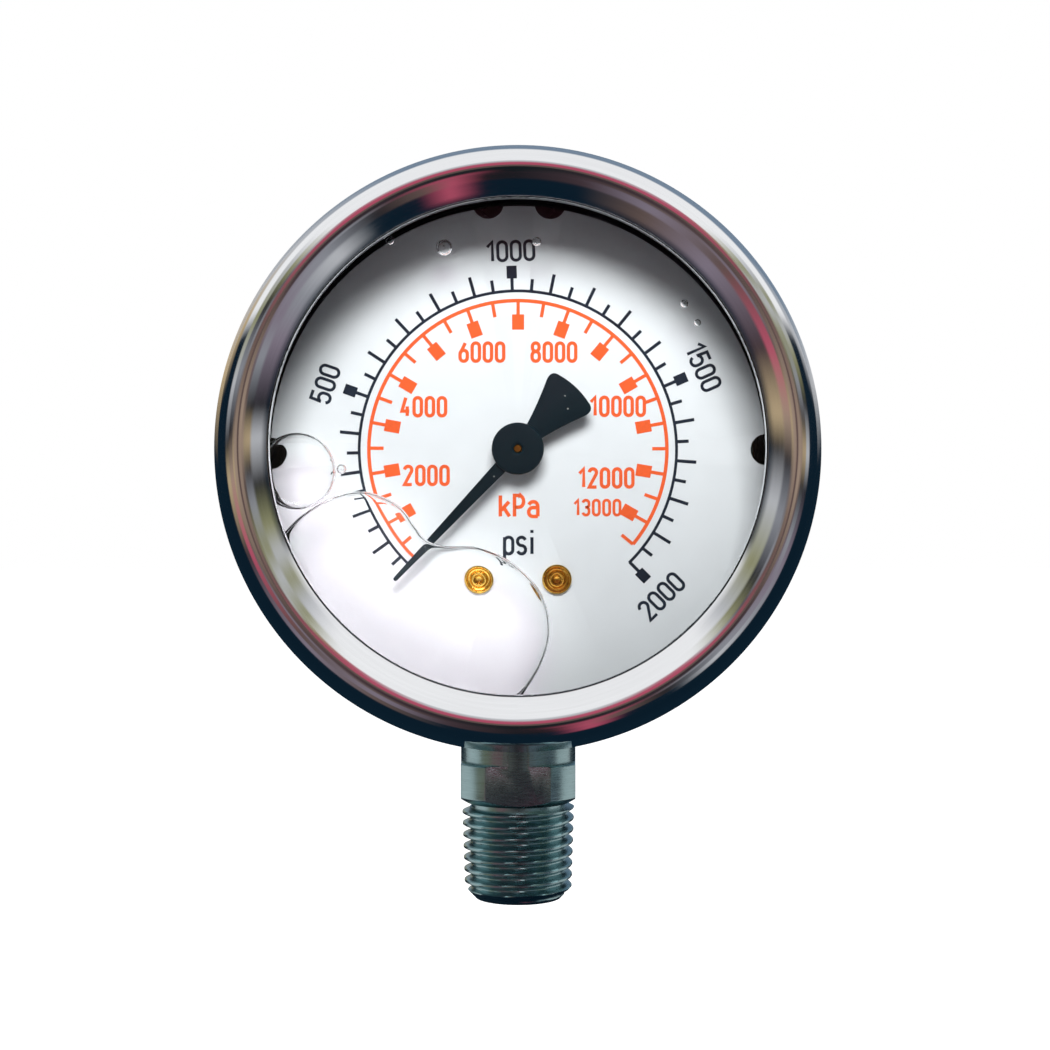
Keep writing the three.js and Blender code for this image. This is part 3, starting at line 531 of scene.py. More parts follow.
def fill_plug():
    """The rubber plug: a domed head with a rim and a moulded ring, and a barbed shank."""
    top = plug_high.z
    wall = CENTRE_Z + CASE_R
    plug = lathe("filling_plug", rounded([
        (0, plug_low.z),
        (3.2, plug_low.z, 0.3),
        (4.6, wall - 1.5, 0.2),
        (PLUG_R, wall - 1.2),
        (PLUG_R, wall - 0.6),
        (5, wall - 0.6),
        (5, wall + 0.9, 0.35),
        (4.4, top - 0.25, 0.3),
        (2.5, top - 0.12, 0.1),
        (2.3, top - 0.35, 0.1),
        (1.9, top - 0.35, 0.1),
        (1.7, top - 0.05, 0.1),
        (0, top),
    ]), (0, PLUG_Y, 0), MEDIUM, True)
    inner, outer = CASE_R - CASE_WALL - FIT, CASE_R + FIT
    wall_ring = lathe("wall", [(inner, -12), (outer, -12), (outer, 8), (inner, 8), (inner, -12)])
    carve(wall_ring, [rod(PLUG_R - 0.01, wall - 8, wall + 2, (0, PLUG_Y, 0), MEDIUM, True)])
    carve(plug, [wall_ring])
    finish(smooth(plug), RUBBER, stands_for=["fill_plug"])


def case_screws():
    """Two countersunk cross-recessed screws in the back."""
    for name, side in SIDES:
        x = side * SCREW_X
        face = screw_high.y
        screw = lathe(f"back_screw_{name}", rounded([
            (0, screw_low.y),
            (0.9, screw_low.y, 0.1),
            (1.2, screw_low.y + 0.4, 0.1),
            (1.2, face - 1.5, 0.1),
            (2.74, face - 0.12, 0.08),
            (2.74, face - 0.02, 0.05),
            (0, face),
        ]), (x, 0, SCREW_Z), SMALL)
        cross = [
            block((x - a, face - 0.8, SCREW_Z - b), (x + a, face + 1, SCREW_Z + b))
            for a, b in ((1.6, 0.32), (0.32, 1.6))
        ]
        carve(screw, cross)
        bevel(screw, 0.05, 2, 50)
        finish(smooth(screw), SCREW, stands_for=[f"case_screw_{name}"])


# ---- Stem ------------------------------------------------------------------------------

THREAD_PITCH = 25.4 / 18
THREAD_LENGTH = 11.2
THREAD_END_R = 6.6
THREAD_TAPER = 1 / 32
THREAD_DEPTH = 0.95
THREAD_ROWS = 12  # rows of faces in each turn
CHAMFER_R = THREAD_END_R - 1.3
CHAMFER_SLOPE = 0.95
SQUARE_LOW = 11.9
SQUARE_HIGH = 17.0
SQUARE_HALF = 7.0
SQUARE_R = 8.05
NECK_R = 7.1
PORT_R = 2.5
CHANNEL_R = 1.1
HEAD_FRONT = -2.2
HEAD_BACK = 7
HEAD_Z = 30


def thread():
    """A right-hand tapered pipe thread with rounded crests and a chamfered end."""
    rows = round(THREAD_LENGTH / THREAD_PITCH * THREAD_ROWS)
    bm = bmesh.new()
    rings = []
    for i in range(rows + 1):
        z = THREAD_LENGTH * i / rows
        ring = []
        for k in range(MEDIUM):
            turn = 2 * math.pi * k / MEDIUM
            phase = (z / THREAD_PITCH - k / MEDIUM) % 1.0
            flank = min(1.0, abs(phase - 0.5) * 2.5 - 0.1)
            ridge = max(0.0, flank)
            ridge *= ridge * (3 - 2 * ridge)
            radius = THREAD_END_R + z * THREAD_TAPER - THREAD_DEPTH * (1 - ridge)
            radius = min(radius, CHAMFER_R + z * CHAMFER_SLOPE)
            ring.append(bm.verts.new((radius * math.cos(turn), radius * math.sin(turn), z)))
        rings.append(ring)
    skin(bm, rings)
    return add_mesh("stem", bm)


def stem():
    """Thread, relief, spanner square, neck and the head inside the case, in one piece."""
    square = lathe("square", rounded([
        (0, SQUARE_LOW),
        (NECK_R - 0.6, SQUARE_LOW, 0.1),
        (SQUARE_R, SQUARE_LOW + 0.9, 0.25),
        (SQUARE_R, SQUARE_HIGH - 0.1, 0.12),
        (SQUARE_R - 0.3, SQUARE_HIGH, 0.1),
        (0, SQUARE_HIGH),
    ]), STEM_AXIS, MEDIUM, True)
    side = SQUARE_HALF
    flats = block((-side, -side, SQUARE_LOW - 1), (side, side, SQUARE_HIGH + 1))
    carve(square, [flats], "INTERSECT")
    bevel(square, 0.12, 2, 25)
    neck = lathe("neck", rounded([
        (0, THREAD_LENGTH - 0.4),
        (THREAD_END_R - 0.8, THREAD_LENGTH - 0.4),
        (THREAD_END_R - 0.8, SQUARE_HIGH - 0.5),
        (NECK_R, SQUARE_HIGH - 0.5),
        (NECK_R, 31),
        (0, 31),
    ]), STEM_AXIS, MEDIUM, True)
    head = block((socket_low.x, HEAD_FRONT, HEAD_Z), (socket_high.x, HEAD_BACK, socket_high.z))
    bevel(head, 0.5, 3)
    made = carve(thread(), [square, neck, head], "UNION")
    cutters = [
        lathe("port", rounded([
            (0, -0.5), (PORT_R + 0.9, -0.5), (PORT_R + 0.4, 0), (PORT_R, 0.5), (PORT_R, 12),
            (CHANNEL_R, 12.8), (CHANNEL_R, 34), (0, 34.5),
        ]), STEM_AXIS, SMALL, True),
    ]
    cutters += [rod(1.25, 1.4, 8, (x, 0, SCREW_Z)) for x in (-SCREW_X, SCREW_X)]
    cutters += [rod(1.05, -3.2, 1.2, (x, 0, RIVET_Z)) for x in (-RIVET_X, RIVET_X)]
    for node in ("movement_screw_upper", "movement_screw_lower"):
        low, high = node_box(node)
        cutters.append(rod(0.8, -3.2, high.y + 0.6, (0, 0, (low.z + high.z) / 2)))
    carve(made, cutters)
    pocket = rod(1, socket_high.z - 4.1, socket_high.z + 1, STEM_AXIS, SMALL, True)
    for vertex in pocket.data.vertices:
        vertex.co.x = vertex.co.x * 1.1 - COIL_R * MM
        vertex.co.y = vertex.co.y * 1.35 + COIL_BACK_Y * MM
    carve(made, [pocket])
    return finish(smooth(made, 30), STEM, stands_for=["socket"])


def stem_seal():
    low, high = seal_low.z, seal_high.z
    ring = lathe("seal_ring", rounded([
        (NECK_R + 0.06, low, 0.2),
        (seal_high.x - 0.25, low, 0.3),
        (seal_high.x, low + 0.6),
        (seal_high.x, high, 0.2),
        (NECK_R + 0.06, high, 0.2),
    ], closed=True), STEM_AXIS, MEDIUM, True)
    finish(ring, RUBBER, stands_for=["stem_seal"])


def restrictor():
    low, high = restrictor_low.z, restrictor_high.z
    outer = restrictor_high.x
    plug = lathe("restrictor_screw", rounded([
        (0.5, low, 0.1), (outer, low, 0.2), (outer, high, 0.2), (0.5, high, 0.1),
    ], closed=True), STEM_AXIS, SMALL, True)
    carve(plug, [block((-outer - 1, -0.4, low - 1), (outer + 1, 0.4, low + 0.8))])
    finish(smooth(plug), BRASS, stands_for=["restrictor"])


# ---- Dial ------------------------------------------------------------------------------

NOTCHES = (-90.8, -6.9, 7.5, 90)  # clockwise from the top
NOTCH_R = 1.85
NOTCH_PLACE = 29.3
INK = 0.02  # how far the print stands off the dial
COAT = 0.004  # how much each coat of ink adds
PSI_DEGREES = 0.1372
KPA_DEGREES = PSI_DEGREES / 6.89476
SCALE_ZERO = -2.0 - 1000 * PSI_DEGREES  # the angle of 0 psi, clockwise from the top
SCALE_START = -136.5
BLACK_ARC_R = 18.72
RED_ARC_R = 17.58
BLACK_TICK = 0.38  # how wide a mark is
BLACK_ENDS = (21.1, 20.18)  # where the marks at the hundreds and the fifties end
BLACK_BLOCK = (20.2, 21.7, 1.2)  # inner end, outer end and width
RED_TICK = 0.4
RED_START = 15.85
RED_BLOCK = (14.15, 15.95, 1.42)
BLACK_FIGURE = (2.6, 1.42, 0.36)  # height, width and stroke
RED_FIGURE = (2.55, 1.26, 0.4)
SMALL_FIGURE = (2.1, 1.05, 0.33)


def polar(angle, radius):
    """A place on the dial, from its centre, by clockwise angle from the top."""
    turn = math.radians(angle)
    return radius * math.sin(turn), radius * math.cos(turn)


def dial():
    disc = lathe("dial_disc", rounded([
        (0, dial_high.y), (DIAL_R, dial_high.y, 0.06), (DIAL_R, DIAL_FACE, 0.06), (0, DIAL_FACE),
    ], steps=2), (0, 0, CENTRE_Z - DIAL_DROP))
    cutters = [rod(2, DIAL_FACE - 1, DIAL_FACE + 2)]
    cutters += [rod(1, DIAL_FACE - 1, DIAL_FACE + 2, (x, 0, RIVET_Z)) for x in (-RIVET_X, RIVET_X)]
    for angle in NOTCHES:
        x, z = polar(angle, NOTCH_PLACE)
        cutters.append(rod(NOTCH_R, DIAL_FACE - 1, DIAL_FACE + 2, (x, 0, CENTRE_Z + z)))
    carve(disc, cutters)
    finish(smooth(disc, 40), ENAMEL, stands_for=["dial"])


def ribbon(bm, points, width, closed=False, coat=0):
    """A thin strip of ink that follows points on the dial's face. Each coat covers the last."""
    front, back = DIAL_FACE - INK - coat * COAT, DIAL_FACE - 0.002
    count = len(points)
    stations = []
    for i in range(count):
        here = Vector(points[i])
        ways = []
        if i > 0 or closed:
            ways.append((here - Vector(points[i - 1])).normalized())
        if i < count - 1 or closed:
            ways.append((Vector(points[(i + 1) % count]) - here).normalized())
        way = sum(ways, Vector((0, 0))).normalized()
        stretch = 1 / max(0.55, way.dot(ways[0]))
        across = Vector((-way.y, way.x)) * width / 2 * stretch
        corners = []
        for depth, side in ((front, 1), (front, -1), (back, -1), (back, 1)):
            x, z = here + across * side
            corners.append(bm.verts.new((x, depth, CENTRE_Z + z)))
        stations.append(corners)
    skin(bm, stations, closed)


def loop(w, low, high, inset=0.0):
    """A tall closed loop with round ends, between two heights."""
    r = (w - 2 * inset) / 2
    return bow(w / 2, high - r, r, r, 0, 180) + bow(w / 2, low + r, r, r, 180, 360)


def glyph(mark, w, h):
    """A mark's strokes, for a centre line w wide and h high."""
    r = w / 2
    x_height = 0.7 * h
    strokes = {
        "0": [loop(w, 0, h)],
        "1": [[(0.05 * w, 0.74 * h), (0.62 * w, h), (0.62 * w, 0)]],
        "2": [bow(r, h - r, r, r, 175, -30) + [(0, 0), (w, 0)]],
        "3": [
            bow(r, h - r, r, r, 170, 0) + bow(0.5 * w, 0.52 * h + 0.45 * w, 0.5 * w, 0.45 * w, 0, -80)
            + bow(0.5 * w, 0.52 * h - 0.5 * w, r, 0.5 * w, 80, 0) + bow(r, r, r, r, 0, -170),
        ],
        "4": [[(w, 0.26 * h), (0, 0.26 * h), (0.52 * w, h)], [(0.72 * w, 0.52 * h), (0.72 * w, 0)]],
        "5": [
            [(0.95 * w, h), (0.06 * w, h), (0, 0.5 * h)]
            + bow(r, 0.62 * h - r, r, r, 150, 0) + bow(r, r, r, r, 0, -165),
        ],
        "6": [loop(w, 0, 0.6 * h), [(0.72 * w, h), (0.02 * w, 0.42 * h)]],
        "8": [loop(w, 0, 0.53 * h), loop(w, 0.55 * h, h, 0.04 * w)],
        "k": [
            [(0, 0), (0, h)],
            [(0.95 * w, x_height), (0.1 * w, 0.3 * h)],
            [(0.35 * w, 0.44 * h), (w, 0)],
        ],
        "P": [
            [(0, 0), (0, h), (w - r, h)] + bow(w - r, 0.72 * h, r, 0.28 * h, 90, -90)
            + [(0.1 * w, 0.44 * h)],
        ],
        "a": [
            bow(r, x_height - r, r, r, 160, 0) + [(w, 0)],
            [(w, 0.42 * h)] + bow(0.45 * w, 0.21 * h, 0.45 * w, 0.21 * h, 90, 270) + [(w, 0)],
        ],
        "p": [
            [(0, -0.3 * h), (0, x_height)],
            bow(r, x_height - r, r, r, 180, 0) + bow(r, r, r, r, 0, -180),
        ],
        "s": [
            bow(r, 0.75 * x_height, r, 0.25 * x_height, 20, 250)
            + bow(r, 0.25 * x_height, r, 0.25 * x_height, 70, -160),
        ],
        "i": [[(0.2 * w, 0), (0.2 * w, x_height)], [(0.2 * w, 0.88 * h), (0.2 * w, h)]],
    }
    return strokes[mark]


LOOPS = {"0": 1, "6": 1, "8": 2}  # how many of a mark's first strokes are closed
NARROW = {"1": 0.72, "i": 0.4}  # the width of the marks that are narrower than the rest


def write(bm, text, centre, height, width, stroke, turn=0.0):
    """Text on the dial about a centre, turned clockwise. The width is that of a whole mark."""
    shares = [NARROW.get(mark, 1.0) for mark in text]
    gap = stroke + 0.17
    total = sum(shares) * (width - stroke) + gap * (len(text) - 1)
    right = Vector(polar(turn + 90, 1))
    up = Vector(polar(turn, 1))
    start = -total / 2
    for mark, share in zip(text, shares):
        line = width - stroke
        for coat, points in enumerate(glyph(mark, line, height - stroke)):
            placed = []
            for x, z in points:
                spot = Vector(centre) + right * (start + x) + up * (z - (height - stroke) / 2)
                placed.append(tuple(spot))
            ribbon(bm, placed, stroke, coat < LOOPS.get(mark, 0), coat)
        start += line * share + gap


def arc_line(bm, radius, start, end, width):
    steps = round(abs(end - start))
    line = [polar(start + (end - start) * k / steps, radius) for k in range(steps + 1)]
    ribbon(bm, line, width)


def tick(bm, angle, inner, outer, width, coat=1):
    ribbon(bm, [polar(angle, inner), polar(angle, outer)], width, coat=coat)


def black_print():
    """The outer scale, in psi: a mark every 50, a longer one every 100, a block every 500."""
    bm = bmesh.new()
    end = SCALE_ZERO + 2000 * PSI_DEGREES
    arc_line(bm, BLACK_ARC_R, SCALE_START, end + 0.3, 0.34)
    for psi in range(50, 2001, 50):
        angle = SCALE_ZERO + psi * PSI_DEGREES
        if angle < SCALE_START:
            continue
        tick(bm, angle, BLACK_ARC_R, BLACK_ENDS[psi % 100 > 0], BLACK_TICK)
        if psi % 500 == 0:
            tick(bm, angle, *BLACK_BLOCK, 2)
    for text, angle, radius, turn in (
        ("1000", -2.2, 23.45, -2.2), ("500", -71.2, 24.0, -71.2), ("1500", 65.9, 23.95, 65.9),
        ("2000", 135.6, 24.2, -45),
    ):
        write(bm, text, polar(angle, radius), *BLACK_FIGURE, turn)
    write(bm, "psi", (0.14, -10.9), 3.2, 1.35, 0.38)
    finish(add_mesh("dial_print_black", bm), BLACK_INK)


def red_print():
    """The inner scale, in kPa: a mark every 500 and a block every 1000."""
    bm = bmesh.new()
    end = SCALE_ZERO + 13500 * KPA_DEGREES
    arc_line(bm, RED_ARC_R, SCALE_START, end, 0.42)
    for kpa in range(500, 13501, 500):
        angle = SCALE_ZERO + kpa * KPA_DEGREES
        if angle < SCALE_START:
            continue
        tick(bm, angle, RED_START, RED_ARC_R, RED_TICK)
        if kpa % 1000 == 0:
            tick(bm, angle, *RED_BLOCK, 2)
    for text, x, z in (
        ("2000", -10.8, -3.05), ("4000", -11.1, 5.05), ("6000", -4.25, 11.5), ("8000", 4.25, 11.5),
        ("10000", 11.75, 5.1), ("12000", 10.4, -3.35),
    ):
        write(bm, text, (x, z), *RED_FIGURE)
    write(bm, "13000", (9.35, -6.85), *SMALL_FIGURE)
    write(bm, "kPa", (0.14, -6.65), 2.9, 1.5, 0.42)
    finish(add_mesh("dial_print_red", bm), RED_INK)


def rivets():
    """Two hollow brass rivets with rolled rims and a dimple. Returns the right one."""
    for name, side in SIDES:
        face = DIAL_FACE - FIT
        rivet = lathe(f"dial_rivet_head_{name}", rounded([
            (0, face - 0.12),
            (0.35, face - 0.14, 0.1),
            (0.62, face - 0.42, 0.15),
            (0.9, face - 0.42, 0.15),
            (1.1, face - 0.12, 0.15),
            (1.36, face - 0.2, 0.12),
            (1.5, face - 0.58, 0.14),
            (1.75, face - 0.42, 0.2),
            (1.75, face, 0.05),
            (0.9, face),
            (0.9, rivet_high.y, 0.1),
            (0, rivet_high.y),
        ]), (side * RIVET_X, 0, RIVET_Z), SMALL)
        finish(rivet, BRASS, stands_for=[f"dial_rivet_{name}"])
    return rivet


# ---- Pointer ---------------------------------------------------------------------------

def turned_to(points, angle):
    """Points drawn with the needle up, turned clockwise and set on the dial's centre."""
    right, up = Vector(polar(angle + 90, 1)), Vector(polar(angle, 1))
    placed = []
    for x, z in points:
        spot = right * x + up * z
        placed.append((spot.x, spot.y + CENTRE_Z))
    return placed


def pointer():
    """The painted pointer: a tapered needle, a raised hub and a fan-shaped tail."""
    half = [(0.26, NEEDLE_LENGTH - 0.3), (0.8, 2.4), (1.19, 0), (1.19, -2.81)]
    half += bend((1.19, -2.81), (1.9, -5.4), (3, -8))
    half += bend((3, -8), (3.6, -9.4), (2.3, -9.6))
    half += bend((2.3, -9.6), (1.2, -9.87), (0, -9.88))
    tip = bow(0, NEEDLE_LENGTH - 0.3, 0.26, 0.28, 0, 180)[1:-1]
    outline = half + [(-x, z) for x, z in half[-2::-1]] + tip[::-1]
    front = POINTER_BACK - POINTER_PLATE
    arm = plate("pointer_arm", turned_to(outline, POINTER_ANGLE), POINTER_BACK, front)
    bevel(arm, 0.07, 3)
    hub = lathe("hub", rounded([
        (0.5, POINTER_BACK - 0.01),
        (HUB_R, POINTER_BACK - 0.01, 0.05),
        (HUB_R, HUB_FACE, 0.25),
        (0.8, HUB_FACE, 0.1),
        (0.5, HUB_FACE + 0.12, 0.05),
    ], closed=True), sides=MEDIUM)
    carve(arm, [hub], "UNION")
    carve(arm, [rod(0.5, HUB_FACE - 1, POINTER_BACK + 1)])
    finish(smooth(arm, 35), PAINT, "pointer_body", ["pointer"])
    shaft = lathe("pointer_shaft_end", rounded([
        (0, HUB_FACE + 0.5), (0.44, HUB_FACE + 0.5), (0.44, HUB_FACE - 0.03, 0.12), (0, HUB_FACE - 0.05),
    ]), sides=SMALL)
    finish(shaft, BRASS, "pointer_body")
    bush = lathe("pointer_bushing", rounded([
        (0.62, bush_low.y, 0.05), (1.6, bush_low.y, 0.1), (1.6, bush_high.y - 0.4, 0.05),
        (1.2, bush_high.y, 0.05), (0.62, bush_high.y, 0.05),
    ], closed=True), sides=SMALL)
    finish(bush, BRASS, "pointer_body", ["pointer_bush"])


# ---- Bubbles in the liquid -------------------------------------------------------------

LIQUID_TOP = 0.06  # from the window's inner face to the top of a bubble
BUBBLE_R = 29.2  # where a bubble rests against the gasket


def smooth_loop(points, steps=10):
    """A smooth line through points, ends included."""
    line = []
    last = len(points) - 1
    for i in range(last):
        a, b, c, d = (Vector(points[min(max(k, 0), last)]) for k in (i - 1, i, i + 1, i + 2))
        for k in range(steps):
            t = k / steps
            spot = 0.5 * (
                2 * b + (c - a) * t + (2 * a - 5 * b + 4 * c - d) * t * t
                + (3 * b - a - 3 * c + d) * t ** 3
            )
            line.append((spot.x, spot.y))
    line.append(tuple(points[last]))
    return line


def against_gasket(point):
    return math.hypot(*point) > BUBBLE_R - 0.02


def distance_to(points, outline):
    """Each point's distance to the free part of a closed outline."""
    edges = [(a, b) for a, b in zip(outline, outline[1:] + outline[:1])
             if not (against_gasket(a) and against_gasket(b))]
    p = np.array(points)[:, None, :]
    a = np.array([edge[0] for edge in edges])[None, :, :]
    edge = np.array([edge[1] for edge in edges])[None, :, :] - a
    share = ((p - a) * edge).sum(2) / np.maximum((edge * edge).sum(2), 1e-12)
    near = a + edge * np.clip(share, 0, 1)[..., None]
    return np.sqrt(((p - near) ** 2).sum(2)).min(1)


def inside(point, outline):
    x, z = point
    crossed = False
    for (ax, az), (bx, bz) in zip(outline, outline[1:] + outline[:1]):
        if (az > z) != (bz > z) and x < (bx - ax) * (z - az) / (bz - az) + ax:
            crossed = not crossed
    return crossed


def clear_of(points, outline, margin):
    """The points inside an outline that are farther than the margin from its free part."""
    points = [point for point in points if inside(point, outline)]
    if not points:
        return []
    return [point for point, far in zip(points, distance_to(points, outline)) if far > margin]


def bubble(name, outline, depth, shoulder, rim_share=0.3):
    """A flat bubble pressed under the window: a level top, a round rim and a domed underside.
    Its outline runs anticlockwise."""
    count = len(outline)
    rim = depth * rim_share
    inner = []
    for share in (0.02, 0.06, 0.12, 0.2, 0.32, 0.48, 0.7, 1.0):
        span = shoulder * share
        ring = []
        for i in range(count):
            way = (Vector(outline[(i + 1) % count]) - Vector(outline[i - 1])).normalized()
            spot = Vector(outline[i]) + Vector((-way.y, way.x)) * span
            ring.append((spot.x, spot.y))
        inner += clear_of(ring, outline, span * 0.97)
    xs, zs = zip(*outline)
    pitch = max(0.3, shoulder * 0.4)
    across = np.arange(min(xs), max(xs), pitch)
    upward = np.arange(min(zs), max(zs), pitch)
    inner += clear_of([(x, z) for x in across for z in upward], outline, shoulder * 1.1)
    flat = [Vector(p) for p in outline + inner]
    points, _, faces, _, _, _ = delaunay_2d_cdt(flat, [], [list(range(count))], 1, 1e-5)
    distances = distance_to([tuple(p) for p in points], outline)
    bm = bmesh.new()
    top_y = window_high.y + LIQUID_TOP
    top, bottom = [], []
    for sheet, reach in ((top, rim * 0.9), (bottom, shoulder)):
        for i, (p, d) in enumerate(zip(points, distances)):
            if sheet is bottom and d < 1e-5:
                sheet.append(top[i])
                continue
            bulge = math.sqrt(max(0.0, 1 - (1 - min(d / reach, 1.0)) ** 2))
            y = rim * (1 - bulge) if sheet is top else rim + (depth - rim) * bulge
            sheet.append(bm.verts.new((p.x, top_y + y, CENTRE_Z + p.y)))
    for face in faces:
        bm.faces.new([top[i] for i in face])
        corners = [bottom[i] for i in reversed(face)]
        if set(corners) != {top[i] for i in face}:
            bm.faces.new(corners)
    for i in range(count):
        after = (i + 1) % count
        corners = list(dict.fromkeys([top[i], top[after], bottom[after], bottom[i]]))
        if len(corners) > 2:
            bm.faces.new(corners)
    piece = add_mesh(name, bm)
    piece.data.shade_smooth()
    finish(piece, SKIN)


def under_lip(points):
    """Keeps an outline within the circle that the bubbles reach."""
    kept = []
    for x, z in points:
        far = math.hypot(x, z)
        scale = min(1.0, BUBBLE_R / far)
        kept.append((x * scale, z * scale))
    return kept


def bubbles():
    """A two-lobed bubble at the lower left, a round one above it, and a few beads."""
    crown = smooth_loop([
        (-27.35, -10.2), (-24.9, -7.75), (-21.4, -5.7), (-17.55, -5.05), (-13.8, -6.6), (-11.9, -9.0),
        (-10.7, -10.5), (-8.4, -11.3), (-4.6, -11.45), (-0.55, -13.3), (2.7, -16.8), (3.7, -21.0),
        (2.7, -25.0), (0.2, -29.1),
    ])
    skirt = [polar(angle, BUBBLE_R) for angle in np.arange(180.0, 249.5, 1.0)]
    bubble("liquid_bubble_large", (crown + skirt)[::-1], 2.3, 3.4)
    circle = bow(-25.45, -2.7, 4.45, 4.45, 0, 360, 120)[:-1]
    bubble("liquid_bubble_round", under_lip(circle), 2.1, 2.2)
    beads = ((-8.47, 23.1, 0.94), (2.2, 23.75, 0.52), (-14.7, 23.86, 0.5), (19.2, 16.6, 0.46),
             (20.7, 14.4, 0.4), (-20.3, -2.46, 0.57))
    for number, (x, z, radius) in enumerate(beads, 1):
        circle = bow(x, z, radius, radius, 0, 360, 36)[:-1]
        bubble(f"liquid_bubble_bead_{number}", circle, radius * 1.5, radius, 0.5)


# ---- Movement --------------------------------------------------------------------------

COIL_R = 9.5
COIL_PITCH = 3.0
COIL_BACK_Y = 5.4
COIL_DEGREES = 705
COIL_STEPS = 240
TUBE_SIDES = 20
TUBE_RADIAL = 0.85
TUBE_AXIAL = 1.1


def bourdon_tube():
    """The coiled tube, from a straight foot at the socket to its free end."""
    bm = bmesh.new()
    rings = []
    foot = CENTRE_Z - (socket_high.z - 4)
    stations = [(-COIL_R, COIL_BACK_Y, -foot + foot * k / 6, 180) for k in range(6)]
    for k in range(COIL_STEPS + 1):
        turned = COIL_DEGREES * k / COIL_STEPS
        angle = math.radians(180 - turned)
        y = COIL_BACK_Y - COIL_PITCH * turned / 360
        stations.append((COIL_R * math.cos(angle), y, COIL_R * math.sin(angle), 180 - turned))
    for x, y, z, degrees in stations:
        spoke = Vector((math.cos(math.radians(degrees)), 0, math.sin(math.radians(degrees))))
        ring = []
        for outward, along in bow(0, 0, TUBE_RADIAL, TUBE_AXIAL, 0, 360, TUBE_SIDES)[:-1]:
            ring.append(bm.verts.new(Vector((x, y + along, z + CENTRE_Z)) + spoke * outward))
        rings.append(ring)
    skin(bm, rings)
    tube = smooth(add_mesh("coiled_tube", bm))
    finish(tube, BRONZE, None, ["bourdon_tube"])
    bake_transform(tube)


def carried_nodes():
    """Materials for the parts of the movement that keep their CAD shape."""
    metals = {"brass": BRASS, "screw_steel": SCREW, "tube_bronze": BRONZE}
    slots = {part["node"]: part["material_slot"] for part in frame["record"]["subparts"]}
    for name, node in frame["nodes"].items():
        if not node.hide_render:
            node.data.materials.clear()
            node.data.materials.append(metals[slots[name]])


# ---- Studio ----------------------------------------------------------------------------

WHITE = (1.0, 1.0, 1.0)
NIGHT = (0.004, 0.012, 0.014)
NAVY = (0.004, 0.014, 0.026)
DARK = (0.014, 0.014, 0.018)
STEEL = (0.2, 0.27, 0.36)
GREY = (0.3, 0.31, 0.34)
PALE = (0.55, 0.56, 0.58)
TAN = (0.42, 0.31, 0.23)
SAND = (0.55, 0.42, 0.25)
UMBER = (0.13, 0.09, 0.08)
ROSE = (0.5, 0.09, 0.15)
DUSK = (0.06, 0.038, 0.045)
OLIVE = (0.3, 0.3, 0.16)
MAUVE = (0.24, 0.2, 0.25)
CARD_COLOR = (1.0, 0.82, 0.78)
SOFT_LOW = (0.22, 0.2, 0.22)
SOFT_HIGH = (0.6, 0.61, 0.62)

# What a glossy surface sees. Each ring lies around an axis tilted up from -Y, beyond the
# angle at which it fades in, and holds colours by clockwise angle from the top.
AXIS_TILT = math.radians(2.5)
GLOSS_RINGS = (
    (4, 8, (
        (-180, NIGHT), (-150, DUSK), (-120, UMBER), (-95, TAN), (-65, UMBER), (-40, ROSE), (35, ROSE),
        (60, UMBER), (95, TAN), (125, DUSK), (180, NIGHT),
    )),
    (20, 27, (
        (-180, NIGHT), (-165, DUSK), (-150, UMBER), (-125, MAUVE), (-110, UMBER), (-94, SAND),
        (-84, UMBER), (-66, GREY), (-54, DUSK), (-44, PALE), (-36, ROSE), (-18, PALE), (18, PALE),
        (36, ROSE),
        (48, OLIVE), (56, PALE), (64, OLIVE), (80, DUSK), (90, TAN), (100, UMBER), (120, MAUVE),
        (140, GREY), (152, DUSK), (166, ROSE), (176, NIGHT),
    )),
    (30, 36, (
        (-180, DARK), (-165, DUSK), (-150, MAUVE), (-130, UMBER), (-110, ROSE), (-95, TAN), (-86, DARK),
        (-74, GREY), (-60, DARK), (-50, OLIVE), (-40, WHITE), (40, WHITE), (50, OLIVE), (60, PALE),
        (66, OLIVE), (76, GREY), (84, DARK), (90, SAND), (97, DARK), (108, GREY), (118, MAUVE),
        (134, GREY), (148, DARK), (160, UMBER), (166, ROSE), (173, DARK),
    )),
    (54, 60, (
        (-165, NAVY), (-150, UMBER), (-132, MAUVE), (-110, DUSK), (-95, SAND), (-88, DARK),
        (-76, PALE), (-62, OLIVE), (-50, PALE), (-42, WHITE), (42, WHITE), (52, PALE), (58, OLIVE),
        (64, PALE), (70, OLIVE), (80, DARK), (90, PALE), (97, DARK), (112, MAUVE), (124, GREY),
        (136, PALE), (146, NAVY), (158, NAVY), (165, ROSE), (172, NAVY),
    )),
    (76, 84, (
        (-66, NAVY), (-60, WHITE), (60, WHITE), (66, NAVY),
    )),
    (112, 124, (
        (-75, NAVY), (-60, SAND), (-45, PALE), (-20, STEEL), (45, STEEL), (62, PALE), (75, NAVY),
    )),
)


KEY = ((0, -0.44, 0.37), (0.28, 0.24), 5.4)  # place and size in metres, and power
SIDE_CARD = ((0.06, 0.01, -0.005), (0.05, 0.06), 0.009)
FRONT_CARD = ((0, -0.2, 0.1), (0.1, 0.05), 0.03)
RIVET_CARD = ((0.02, -0.25, -0.03), (0.1, 0.1), 0.06)
THREAD_MIDDLE = (0, 0, 0.008)
FLOOR_Z = -60
FLOOR_HALF = 4000
FLOOR_GLOW = 0.55
LENS = 61.2  # for a sensor 36 wide
CAMERA_PLACE = (0.84, -221.7, CENTRE_Z - 8.9)


